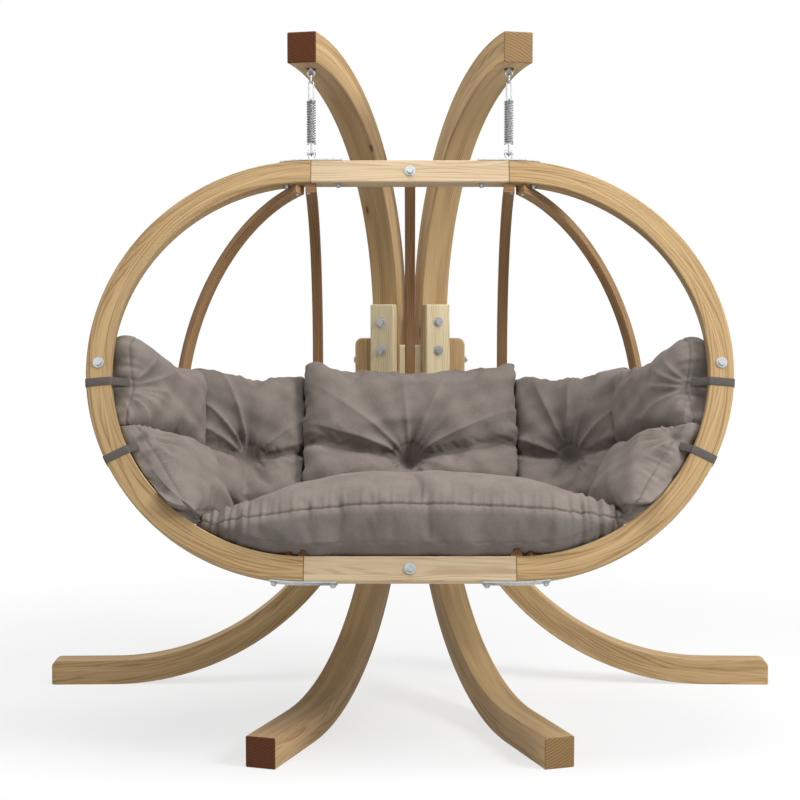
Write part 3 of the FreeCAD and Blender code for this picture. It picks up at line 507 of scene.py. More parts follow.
@dataclass(frozen=True)
class Globe:
    """The chair's tilted frame: origin at the ring's middle, Y to the back, Z up the ring."""

    tilt: float = math.radians(20.8)
    hang_half: float = HANG_HALF
    ring_outer: float = 0.590
    ring_inner: float = 0.524
    half_depth: float = 0.019
    rib_inner: float = 0.498
    hoop_center: tuple[float, float] = (0.351, 0.044)

    @property
    def ring_middle(self) -> float:
        """Radius of the ring's middle line."""
        return (self.ring_outer + self.ring_inner) / 2

    @property
    def middle(self) -> Vector:
        """Middle of the ring in the row frame."""
        low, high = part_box("ring_arc_right")
        return Vector((0.0, (low[1] + high[1]) / 2, (low[2] + high[2]) / 2))

    @property
    def turn(self) -> Matrix:
        """Turn from the chair's frame to the row frame."""
        return Matrix.Rotation(-self.tilt, 4, "X")

    @property
    def matrix(self) -> Matrix:
        """The whole step from the chair's frame to the row frame."""
        return Matrix.Translation(self.middle) @ self.turn

    def past_hub(self, x: np.ndarray) -> np.ndarray:
        """How far places on the right lie outside the hub of the ring's round end."""
        return np.maximum(x - self.hang_half, 0.0)

    def floor(self, x: np.ndarray) -> np.ndarray:
        """Height of the ring's inner face at its bottom."""
        return -np.sqrt(np.maximum(self.ring_inner ** 2 - np.square(self.past_hub(x)), 0.0))

    def radius(self, local: np.ndarray) -> np.ndarray:
        """Distance of points on the right from the level line between the ring's two hubs."""
        run = self.past_hub(local[:, 0])
        return np.sqrt(np.square(run) + np.square(local[:, 1]) + np.square(local[:, 2]))

    def hold_in(self, local: np.ndarray, most: np.ndarray) -> np.ndarray:
        """Pull points on the right back to a distance from that line.

        Args:
            local: Points in the chair's frame.
            most: Largest distance of each.

        Returns:
            The points, none further out than allowed.
        """
        share = np.minimum(1.0, most / np.maximum(self.radius(local), 1e-9))
        held = local * share[:, None]
        held[:, 0] = np.minimum(local[:, 0], self.hang_half) + self.past_hub(local[:, 0]) * share
        return held

    def euler(self, yaw: float = 0.0) -> tuple[float, float, float]:
        """Euler angles of the frame, turned about the chair's own Z first."""
        return tuple((self.turn @ Matrix.Rotation(yaw, 4, "Z")).to_euler("XYZ"))


# Meshes

def read_points(obj: bpy.types.Object) -> np.ndarray:
    """Places of a mesh's points."""
    flat = np.empty(3 * len(obj.data.vertices))
    obj.data.vertices.foreach_get("co", flat)
    return flat.reshape(-1, 3)


def write_points(obj: bpy.types.Object, points: np.ndarray) -> None:
    """Set the places of a mesh's points."""
    obj.data.vertices.foreach_set("co", points.ravel())
    obj.data.update()


def read_normals(obj: bpy.types.Object) -> np.ndarray:
    """Normals at a mesh's points."""
    flat = np.empty(3 * len(obj.data.vertices))
    obj.data.vertex_normals.foreach_get("vector", flat)
    return flat.reshape(-1, 3)


def activate(obj: bpy.types.Object) -> None:
    """Make an object the only selected one."""
    bpy.ops.object.select_all(action="DESELECT")
    obj.select_set(True)
    bpy.context.view_layer.objects.active = obj


def modify(obj: bpy.types.Object, kind: str, **settings: object) -> None:
    """Add a modifier and apply it.

    Args:
        obj: Object to change.
        kind: Type of the modifier.
        settings: The modifier's settings.
    """
    activate(obj)
    modifier = obj.modifiers.new(kind.lower(), kind)
    for name, value in settings.items():
        setattr(modifier, name, value)
    bpy.ops.object.modifier_apply(modifier=modifier.name)


def mark(obj: bpy.types.Object, name: str, values: np.ndarray) -> None:
    """Keep one number for each point of a mesh."""
    attribute = obj.data.attributes.new(name, "FLOAT", "POINT")
    attribute.data.foreach_set("value", values)


def closed_copy(node: str, name: str) -> bpy.types.Object:
    """Copy of a CAD node as a new object, its points merged.

    Args:
        node: Name of the node.
        name: Name of the copy.

    Returns:
        The new object.
    """
    obj = bpy.data.objects.new(name, frame["nodes"][node].data.copy())
    bpy.context.scene.collection.objects.link(obj)
    activate(obj)
    bpy.ops.object.mode_set(mode="EDIT")
    bpy.ops.mesh.select_all(action="SELECT")
    bpy.ops.mesh.remove_doubles(threshold=0.00002)
    bpy.ops.object.mode_set(mode="OBJECT")
    return obj


def coat(obj: bpy.types.Object, material: bpy.types.Material) -> None:
    """Give an object one material."""
    obj.data.materials.clear()
    obj.data.materials.append(material)


def paint(node: str, material: bpy.types.Material) -> None:
    """Give a CAD node one material."""
    coat(frame["nodes"][node], material)


def find_joint(name: str) -> dict:
    """The frame's entry for a joint."""
    return next(joint for joint in frame["joints"] if joint["name"] == name)


def both_sides(name: str) -> tuple[tuple[str, int], tuple[str, int]]:
    """Left and right node of a pair, each with the sign of its side."""
    return (name + "_left", -1), (name + "_right", 1)


ZINC = Steel((0.54, 0.555, 0.57), (0.30, 0.31, 0.32))
WIRE = Steel((0.30, 0.305, 0.31), (0.12, 0.125, 0.13), rough=0.34, scratch=(900.0, 900.0, 60.0))
SWELL_FRAMES = 20


def plate(nodes: Sequence[str], shift: float) -> None:
    """Zinc for each CAD node, its patches shifted by the length of the node's name."""
    for node in nodes:
        paint(node, ZINC.material("zinc_" + node, len(node) * shift))


# Stand, hangers and chair frame

@dataclass
class Stand:
    """Two bowed posts with side legs, boards and bolts."""

    toe: float = math.radians(18.4)
    hang_half: float = HANG_HALF
    upper_center: tuple[float, float] = (0.1265, 1.124)
    lower_center: tuple[float, float] = (0.0985, 0.808)
    leg_radius: float = 0.850
    wood: Wood = Wood((0.525, 0.370, 0.190), (0.275, 0.158, 0.066))
    dark_end: Wood = Wood((0.505, 0.350, 0.178), (0.262, 0.146, 0.060), end_tint=(0.090, 0.025, 0.006))
    board: Wood = Wood((0.640, 0.555, 0.370), (0.410, 0.300, 0.165), lamella=0.30)

    def reach(self, node: str, at: Sequence[float], forward: tuple[float, float]) -> float:
        """How far a node reaches past a point, along a level way to the front."""
        points = read_points(frame["nodes"][node])
        return float(((points[:, :2] - np.array(at[:2])) @ np.array(forward)).max())

    def dress(self, hang_y: float) -> None:
        """Paint every node of the stand.

        Args:
            hang_y: Y of the line through the two hang points.
        """
        for side, word in ((-1, "left"), (1, "right")):
            at = (side * self.hang_half, hang_y, 0.0)
            turn = (0.0, 0.0, side * self.toe - math.pi / 2)
            wood = self.dark_end if side < 0 else self.wood
            forward = (math.sin(side * self.toe), -math.cos(side * self.toe))
            nose, foot = (self.reach(name + word, at, forward) for name in ("upper_arc_", "lower_arc_"))
            upper = Grain(Run.BOW, at, turn, center=self.upper_center, signs=(-1, 1), end=nose)
            lower = Grain(Run.BOW, at, turn, center=self.lower_center, signs=(-1, -1), end=foot)
            paint("upper_arc_" + word, wood.material("wood_upper_arc_" + word, upper, 3.1 + side))
            paint("lower_arc_" + word, wood.material("wood_lower_arc_" + word, lower, 8.3 + side))
            inner, tip = sorted(abs(corner[0]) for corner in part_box("side_leg_" + word))
            hub = (inner + self.leg_radius, self.leg_radius)
            leg = Grain(Run.BOW, (0, 0, 0), center=hub, fold=True, end=tip)
            paint("side_leg_" + word, self.wood.material("wood_side_leg_" + word, leg, 14.6 + side))
            board = Grain(Run.STRAIGHT, at, turn, axes=(2, 0, 1))
            paint("splice_board_" + word, self.board.material("wood_splice_" + word, board, 21.2 + side))
            paint("eye_bolt_" + word, ZINC.material("zinc_eye_bolt_" + word, 1.0 * side))
        spacer = Grain(Run.STRAIGHT, (0, 0, 0), axes=(2, 1, 0))
        paint("spacer_board", self.board.material("wood_spacer", spacer, 30.5))
        plate(("splice_bolts", "cross_bolts", "stand_washers", "stand_nuts", "eye_washers", "eye_nuts",
               "spacer_screws"), 0.37)


@dataclass
class Hangers:
    """Links, drawbars and coils between stand and chair."""

    joint: str = "bounce"

    def dress(self) -> None:
        """Paint the hangers."""
        for word in ("left", "right"):
            for name in ("hanger_link", "upper_drawbar", "lower_drawbar", "pin_bush"):
                paint(name + "_" + word, ZINC.material("zinc_%s_%s" % (name, word), len(name) * 0.21))
            self.coil(word)

    def coil(self, word: str) -> None:
        """Smooth wire copy of a coil, hung from its upper drawbar.

        Args:
            word: Side of the coil.
        """
        node = "spring_coil_" + word
        low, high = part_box(node)
        obj = closed_copy(node, "wound_" + node)
        coat(obj, WIRE.material("wire_" + node, 0.4))
        bpy.ops.object.shade_smooth_by_angle(angle=SMOOTH_BELOW)
        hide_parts(node)
        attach(obj, word + "_upper_drawbar")
        travel = find_joint(self.joint)["range_m"][1]
        1.0 - travel / (high[2] - low[2])
        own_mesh(obj)


@dataclass
class ChairFrame:
    """Ring, beams, ribs, hoop and their steel."""

    globe: Globe
    rib_offset: float = 0.030
    rib_yaw: float = math.radians(44.4)
    rib_radius: float = 0.51
    hoop_radius: float = 0.48
    center_rib_bow: float = -0.052
    center_rib_radius: float = 0.56
    ring_wood: Wood = Wood((0.427, 0.298, 0.148), (0.200, 0.110, 0.045))
    beam_wood: Wood = Wood((0.540, 0.430, 0.285), (0.370, 0.255, 0.145), lamella=0.022)
    rib_wood: Wood = Wood((0.330, 0.200, 0.096), (0.165, 0.085, 0.037), lamella=0.0065)
    # Darker copy of the rib wood: painted shade for the back ribs and the middle rib, which lie in shadow.
    rib_wood_painted_shade: Wood = Wood((0.255, 0.143, 0.066), (0.125, 0.060, 0.025), lamella=0.0065)

    def dress(self) -> None:
        """Paint every node of the chair's frame."""
        middle, turn = tuple(self.globe.middle), self.globe.euler()
        for node, side in both_sides("ring_arc"):
            ring = Grain(Run.ROUND, middle, turn, center=(self.globe.hang_half, 0.0),
                         radius=self.globe.ring_middle, fold=True, butt=self.globe.hang_half)
            paint(node, self.ring_wood.material("wood_" + node, ring, 40.7 + 3 * side))
        for node, seed in (("top_beam", 50.2), ("bottom_beam", 57.9)):
            beam = Grain(Run.STRAIGHT, middle, turn, butt=self.globe.hang_half)
            paint(node, self.beam_wood.material("wood_" + node, beam, seed))
        # The back ribs and the middle rib take the darker copy: painted shade.
        for node, side in both_sides("rib_back"):
            back = Grain(Run.ROUND, middle, turn, axes=(1, 2, 0), radius=self.rib_radius)
            paint(node, self.rib_wood_painted_shade.material("wood_" + node, back, 61.3 + side))
        center = Grain(Run.ROUND, middle, turn, axes=(1, 2, 0), center=(self.center_rib_bow, 0.0),
                       radius=self.center_rib_radius)
        paint("rib_center", self.rib_wood_painted_shade.material("wood_rib_center", center, 66.1))
        for node, side in both_sides("rib_side"):
            at = tuple(self.globe.middle + Vector((side * (self.globe.hang_half + self.rib_offset), 0, 0)))
            slant = self.globe.euler(-side * self.rib_yaw)
            slanted = Grain(Run.ROUND, at, slant, axes=(1, 2, 0), radius=self.rib_radius)
            paint(node, self.rib_wood.material("wood_" + node, slanted, 70.4 + side))
        hoop = Grain(Run.BOW, middle, turn, axes=(0, 1, 2), center=self.globe.hoop_center, signs=(1, 1),
                     radius=self.hoop_radius, fold=True)
        paint("equator_hoop", self.rib_wood.material("wood_equator_hoop", hoop, 77.7))
        for name in ("hang_plate", "bottom_plate", "hang_pin"):
            for node, side in both_sides(name):
                paint(node, ZINC.material("zinc_" + node, len(name) * 0.3 * side))
        plate(("plate_bolts", "plate_washers", "plate_nuts", "frame_bolts", "frame_washers",
               "rib_screws"), 0.29)


# Soft pieces

def ripple(values: np.ndarray, pitch: float, seed: float) -> np.ndarray:
    """Uneven waves.

    Args:
        values: Place along the waves.
        pitch: Main length of a wave.
        seed: Shift of the waves.

    Returns:
        Heights from about -1 to 1.
    """
    turns = math.tau / pitch
    main = np.sin(values * turns + seed * 1.3)
    short = np.sin(values * turns * 1.618 + seed * 2.9)
    long = np.sin(values * turns * 0.577 + seed * 4.1)
    return (main + 0.7 * short + 0.6 * long) / 2.0


def step(values: np.ndarray, low: float, high: float) -> np.ndarray:
    """Smooth step from 0 at one value to 1 at another."""
    share = np.clip((values - low) / (high - low), 0.0, 1.0)
    return share * share * (3.0 - 2.0 * share)


def bell(values: np.ndarray, width: float) -> np.ndarray:
    """Round hump that is 1 at zero."""
    return np.exp(-np.square(values / width))


def pleats(angle: np.ndarray, count: int, seed: float) -> np.ndarray:
    """Uneven folds round a point.

    Args:
        angle: Angle of each place round the point.
        count: Number of main folds.
        seed: Shift of the folds.

    Returns:
        Heights from about -1 to 1, with sharp ridges.
    """
    wave = np.sin(count * angle + seed * 1.3) + 0.7 * np.sin((count + 3) * angle + seed * 2.9)
    wave += 0.5 * np.sin((count - 3) * angle + seed * 4.1)
    return 1.0 - 2.0 * np.sqrt(np.abs(wave) / 2.2)


@dataclass(frozen=True)
class Pull:
    """A point on a pad's face where the cloth is drawn in."""

    x: float
    z: float
    depth: float
    reach: float
    crease: float = 0.0
    folds: float = 0.0075
    upward: float = 0.0

    def away(self, local: np.ndarray) -> tuple[np.ndarray, np.ndarray, np.ndarray]:
        """Each point's step across, step up and distance from the pull, on the pad's face."""
        dx, dz = local[:, 0] - self.x, local[:, 2] - self.z
        return dx, dz, np.hypot(dx, dz)


@dataclass(frozen=True)
class Wall:
    """A plane in the chair's frame that a pad stays behind."""

    at: tuple[float, float, float]
    way: tuple[float, float, float]


@dataclass(frozen=True)
class Settle:
    """How the pads sink together where the seat droops, in the chair's frame."""

    middle: float = 0.014
    left_end: float = 0.052
    right_end: float = 0.026
    droop: tuple[float, float] = (0.10, 0.44)
    fade: tuple[float, float] = (0.06, 0.30)
    top: float = -0.290
    end_drop: float = 0.10
    ends: tuple[float, float] = (0.36, 0.56)
    span: float = 0.20
    thinnest: float = 0.02

    def move(self, local: np.ndarray, sign: np.ndarray, globe: Globe) -> np.ndarray:
        """Sink points, and keep them inside the ribs.

        Args:
            local: Points in the chair's frame, turned over to the right.
            sign: The side that each one comes from.
            globe: The chair's sizes.

        Returns:
            The points after they have sunk.
        """
        x = local[:, 0]
        floor = globe.floor(x)
        deepest = np.where(sign < 0, self.left_end, self.right_end)
        depth = self.middle + (deepest - self.middle) * step(x, *self.droop)
        depth = depth * (1.0 - step(local[:, 1], *self.fade))
        top = self.top - self.end_drop * step(x, *self.ends)
        under = np.clip((local[:, 2] - floor) / np.maximum(top - floor, self.thinnest), 0.0, 1.0)
        over = 1.0 - step(local[:, 2] - top, 0.0, self.span)
        sunk = local.copy()
        sunk[:, 2] -= depth * np.minimum(under, over)
        return globe.hold_in(sunk, np.maximum(globe.radius(local), globe.rib_inner))


@dataclass
class Pad:
    """A stuffed pad, described for the right side: X along its width, Y out of its back, Z up."""

    node: str
    globe: Globe
    side: int
    at: tuple[float, float, float]
    yaw: float
    pitch: float
    size: tuple[float, float, float]
    pulls: tuple[Pull, ...]
    walls: tuple[Wall, ...]
    seed: float
    fill: float = 0.75
    stretch: tuple[float, float] = (1.0, 1.0)
    pivot: float = 0.0
    voxel: float = 0.008
    soften: int = 6
    grow: float = 0.024
    pressure: float = 4.0
    settle: Settle = Settle()
    bow: float = 0.30
    gap: float = 0.0006
    ring_room: float = 0.006
    button: float = 0.016
    stitch: float = 0.006
    obj: Optional[bpy.types.Object] = None
    before: Optional[np.ndarray] = None

    @property
    def matrix(self) -> np.ndarray:
        """Turn from the pad's frame to the chair's frame."""
        yaw = Matrix.Rotation(-math.radians(self.yaw), 3, "Z")
        return np.array(yaw @ Matrix.Rotation(-math.radians(self.pitch), 3, "X"))

    def to_chair(self, points: np.ndarray) -> np.ndarray:
        """Points of the row frame in the chair's frame, a left pad turned over to the right."""
        local = (points - np.array(self.globe.middle)) @ np.array(self.globe.turn.to_3x3())
        local[:, 0] *= self.side or 1
        return local

    def from_chair(self, points: np.ndarray) -> np.ndarray:
        """Points of the chair's frame, on the right, back in the row frame."""
        local = points.copy()
        local[:, 0] *= self.side or 1
        return local @ np.array(self.globe.turn.to_3x3()).T + np.array(self.globe.middle)

    def to_pad(self, points: np.ndarray) -> np.ndarray:
        """Points of the row frame in the pad's frame."""
        return (self.to_chair(points) - np.array(self.at)) @ self.matrix

    def from_pad(self, points: np.ndarray) -> np.ndarray:
        """Points of the pad's frame in the row frame."""
        return self.from_chair(points @ self.matrix.T + np.array(self.at))

    def half(self, local: np.ndarray) -> np.ndarray:
        """-1 for points on the left half of a middle pad, 1 for all others."""
        return np.where((local[:, 0] < 0) & (self.side == 0), -1.0, 1.0)

    def off_crease(self, dx: np.ndarray, dz: np.ndarray) -> np.ndarray:
        """Height above the bowed crease through a pull."""
        return dz - self.bow * np.square(dx) / self.size[0]

    def draw_in(self, local: np.ndarray) -> np.ndarray:
        """Draw the face in at the pad's pulls, with their pits and creases.

        Args:
            local: Points in the pad's frame.

        Returns:
            The points after that.
        """
        thickness = self.size[1]
        face = step(-local[:, 1], -0.20 * thickness, 0.35 * thickness)
        inward = np.zeros(len(local))
        for pull in self.pulls:
            dx, dz, away = pull.away(local)
            pit = pull.depth * (0.60 * bell(away, pull.reach * 0.38) + 0.40 * bell(away, pull.reach))
            fade = 1.0 - 0.35 * step(np.abs(dx), 0.05, self.size[0] / 2)
            crease = pull.crease * bell(self.off_crease(dx, dz), 0.019) * fade
            inward += np.maximum(pit, crease) + 0.4 * np.minimum(pit, crease)
        drawn = local.copy()
        drawn[:, 1] += inward * face
        return drawn

    def held(self, local: np.ndarray) -> np.ndarray:
        """Points that the stuffing doesn't move: the back, and the middles of the pulls."""
        held = local[:, 1] > 0.20 * self.size[1]
        front = local[:, 1] < 0.0
        for pull in self.pulls:
            dx, dz, away = pull.away(local)
            held |= (away < self.button) & front
            if pull.crease > 0.0:
                near = np.abs(self.off_crease(dx, dz)) < self.stitch
                held |= near & (np.abs(dx) < 0.40 * self.size[0]) & front
        return held

    def stuff(self) -> None:
        """Give the pad a cloth modifier that blows it up."""
        obj = self.obj
        self.before = read_points(obj)
        held = np.flatnonzero(self.held(self.to_pad(self.before)))
        group = obj.vertex_groups.new(name="held")
        group.add(held.tolist(), 1.0, "REPLACE")
        cloth = obj.modifiers.new("swell", "CLOTH")
        settings = cloth.settings
        settings.quality = 4
        settings.mass = 0.3
        settings.tension_stiffness = 12.0
        settings.compression_stiffness = 12.0
        settings.shear_stiffness = 4.0
        settings.bending_stiffness = 0.35
        settings.shrink_min = -0.045
        settings.use_pressure = True
        settings.uniform_pressure_force = self.pressure
        settings.vertex_group_mass = group.name
        settings.effector_weights.gravity = 0.0
        cloth.point_cache.frame_end = SWELL_FRAMES

    def take_shape(self) -> None:
        """Keep the blown-up shape, with a cap on how far its points go."""
        activate(self.obj)
        bpy.ops.object.modifier_apply(modifier="swell")
        move = read_points(self.obj) - self.before
        far = np.linalg.norm(move, axis=1, keepdims=True)
        write_points(self.obj, self.before + move * np.minimum(1.0, self.grow / np.maximum(far, 1e-9)))
        self.obj.vertex_groups.clear()

    def keep_clear(self) -> None:
        """Press the pad back behind its walls, let it settle, and keep it inside the ring."""
        local = self.to_chair(read_points(self.obj))
        half = self.half(local)
        local[:, 0] *= half
        for wall in self.walls:
            way = np.array(wall.way)
            over = np.maximum((local - np.array(wall.at)) @ way + self.gap, 0.0)
            local -= over[:, None] * way
        local = self.settle.move(local, half * (self.side or 1), self.globe)
        run = self.globe.past_hub(local[:, 0])
        out = np.hypot(run, local[:, 2])
        limit = self.globe.ring_inner - self.gap
        near = (local[:, 1] < self.globe.half_depth + self.ring_room) & (out > limit)
        share = np.where(near, limit / np.maximum(out, 1e-9), 1.0)
        local[:, 0] = np.minimum(local[:, 0], self.globe.hang_half) + run * share
        local[:, 2] *= share
        local[:, 0] *= half
        write_points(self.obj, self.from_chair(local))

    def crinkle(self, local: np.ndarray, normals: np.ndarray) -> tuple[np.ndarray, np.ndarray]:
        """Fine folds, the seam round the face, and painted shade in the pits, fold hollows, creases and
        seam groove.

        Args:
            local: Points in the pad's frame.
            normals: Normals in the pad's frame.

        Returns:
            Height of each point along its normal, and the painted shade that darkens its cloth in pits,
            fold hollows, stitched creases and the seam groove.
        """
        width, thickness, height = self.size
        face = step(-local[:, 1], -0.1 * thickness, 0.3 * thickness)
        rise = 0.0038 * ripple(local[:, 0] + 0.6 * local[:, 2], 0.15, self.seed)
        rise += 0.0028 * ripple(local[:, 2] - 0.4 * local[:, 0], 0.09, self.seed + 2.0)
        fold = np.zeros(len(local))
        for number, pull in enumerate(self.pulls):
            dx, dz, away = pull.away(local)
            angle = np.arctan2(dz, dx)
            ridge = pleats(angle, 6, self.seed + number)
            strong = np.ones(len(local))
            if pull.upward > 0.0:
                strong = 0.70 + 0.30 * np.sin(2.0 * angle + self.seed)
                strong *= 0.25 + 0.75 * step(np.sin(angle), -0.1, 0.5)
            reach = pull.reach * (0.8 + pull.upward * step(dz, -0.01, 0.07))
            span = step(away, 0.012, 0.055) * bell(np.maximum(away - 0.045, 0.0), reach)
            rise += pull.folds * ridge * span * face * strong
            # Painted shade: darkest at the pull's pit, then in the pleats' hollows and along the stitched
            # crease.
            fold = np.maximum(fold, bell(away, 0.013) * face)
            fold = np.maximum(fold, 0.55 * step(-ridge, -0.2, 0.8) * span * face * strong)
            stitched = bell(self.off_crease(dx, dz), self.stitch) * face
            fold = np.maximum(fold, 0.6 * stitched * min(1.0, pull.crease * 40.0))
        around = np.arctan2(local[:, 2] / height, local[:, 0] / width) * (width + height) / 4
        seam = local[:, 1] + 0.27 * thickness
        edge = 1.0 - step(np.abs(normals[:, 1]), 0.55, 0.9)
        rise += 0.0026 * ripple(around, 0.036, self.seed + 5.0) * bell(seam, 0.034) * edge
        groove = bell(seam, 0.0032) * edge
        rise -= 0.0030 * groove
        # The seam groove takes painted shade too.
        return rise, np.maximum(fold, 0.6 * groove)

    def rough_out(self) -> None:
        """Soft blank of the pad: remeshed, rounded, widened to its neighbours and drawn in at its pulls."""
        self.obj = closed_copy(self.node, "soft_" + self.node)
        modify(self.obj, "REMESH", mode="VOXEL", voxel_size=self.voxel)
        modify(self.obj, "SMOOTH", factor=0.5, iterations=self.soften)
        points = read_points(self.obj)
        local = self.to_pad(points)
        local[:, 0] *= self.stretch[0]
        local[:, 2] = self.pivot + (local[:, 2] - self.pivot) * self.stretch[1]
        most, wide = self.to_chair(points), self.to_chair(self.from_pad(self.draw_in(local)))
        half = self.half(wide)
        most[:, 0] *= half
        wide[:, 0] *= half
        wide = self.globe.hold_in(wide, np.maximum(self.globe.radius(most), self.globe.rib_inner))
        wide[:, 0] *= half
        write_points(self.obj, self.from_chair(wide))

    def finish(self, cloth: Cloth) -> None:
        """Settle the pad, add its fine folds and dress it.

        Args:
            cloth: Finish of its cover.
        """
        obj = self.obj
        self.keep_clear()
        modify(obj, "SMOOTH", factor=0.5, iterations=2)
        modify(obj, "SUBSURF", levels=1, render_levels=1)
        points, normals = read_points(obj), read_normals(obj)
        local = self.to_pad(points)
        turned = self.to_pad(points + normals) - local
        rise, fold = self.crinkle(local, turned)
        write_points(obj, points + normals * rise[:, None])
        # Keep the painted shade of pits, fold hollows, creases and the seam groove as the cloth's fold
        # attribute.
        mark(obj, "fold", fold)
        activate(obj)
        bpy.ops.object.shade_smooth()
        middle = self.from_pad(np.zeros((1, 3)))[0]
        coat(obj, cloth.material("cloth_" + self.node, tuple(middle), self.globe.euler()))
        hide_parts(self.node)
        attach(obj, "chair")


@dataclass
class Seat(Pad):
    """The seat: a long roll that droops at both ends, with a seam along its front."""

    stations: tuple[float, ...] = (0.0, 0.274, 0.3615, 0.449, 0.534, 0.562)
    rises: tuple[float, ...] = (1.0, 0.97, 0.88, 0.70, 0.40, 0.22)
    seam_height: float = 0.142
    lip: float = 0.040
    # Share of painted shade on the lower front, below the seam.
    painted_front_shade: float = 0.62
    front_edge: float = -0.044
    rest_back: float = 0.055
    rest_under: float = -0.105
    gather: float = 0.026

    def seam(self, x: np.ndarray) -> np.ndarray:
        """Height of the front seam before the seat settles."""
        return self.globe.floor(x) + self.seam_height * np.interp(x, self.stations, self.rises)

    def draw_in(self, local: np.ndarray) -> np.ndarray:
        """Bring the lower front forward and down onto the ring.

        Args:
            local: Points in the pad's frame.

        Returns:
            The points after that.
        """
        x = np.abs(local[:, 0])
        below = step(self.seam(x) - local[:, 2] - self.at[2], 0.02, self.seam_height * 0.9)
        front = 1.0 - step(local[:, 1] + self.at[1], self.front_edge + 0.01, 0.02)
        drawn = local.copy()
        drawn[:, 2] -= self.lip * below * front
        drawn[:, 1] -= 0.5 * self.lip * below * front
        return drawn

    def held(self, local: np.ndarray) -> np.ndarray:
        """Underside and back stay where they rest."""
        return (local[:, 1] > self.rest_back) | (local[:, 2] < self.rest_under)

    def crinkle(self, local: np.ndarray, normals: np.ndarray) -> tuple[np.ndarray, np.ndarray]:
        """Gathers along the front seam and at both ends, with painted shade in their hollows and on the
        lower front.

        Args:
            local: Points in the pad's frame.
            normals: Normals in the pad's frame.

        Returns:
            Height of each point along its normal, and the painted shade: in the seam groove, in the
            gathers' hollows and over the lower front below the seam.
        """
        x = np.abs(local[:, 0])
        line = np.column_stack((x, np.full_like(x, self.front_edge), self.seam(x)))
        sunk = self.settle.move(line, np.sign(local[:, 0]), self.globe)
        seam = local[:, 2] + self.at[2] - sunk[:, 2]
        front = step(-normals[:, 1], 0.05, 0.45)
        ends = step(x, 0.34, 0.52)
        rise = 0.0034 * ripple(local[:, 0] + 0.3 * local[:, 2], 0.21, self.seed)
        near = bell(np.maximum(seam, 0.0), 0.040 + 0.05 * ends)
        near = near * bell(np.minimum(seam, 0.0), 0.016 + 0.05 * ends)
        gathers = ripple(local[:, 0], self.gather, self.seed + 1.0)
        rise += (0.0022 + 0.0040 * ends) * gathers * near
        rise += 0.0045 * ends * ripple(local[:, 0] + 0.25 * local[:, 1], 0.047, self.seed + 3.0)
        groove = bell(seam, 0.0036) * front
        rise -= 0.0042 * groove
        # Painted shade in the hollows of the gathers.
        pleat = step(-gathers, 0.1, 0.9) * near * (0.15 + 0.45 * ends)
        facing = step(-normals[:, 1] - 0.6 * normals[:, 2], -0.2, 0.5)
        # Painted shade: the lower front below the seam, facing down and forward, is darkened as if in
        # shadow.
        shade = self.painted_front_shade * step(-seam, 0.0, 0.03) * facing
        return rise, np.maximum(np.maximum(0.75 * groove, pleat), shade)


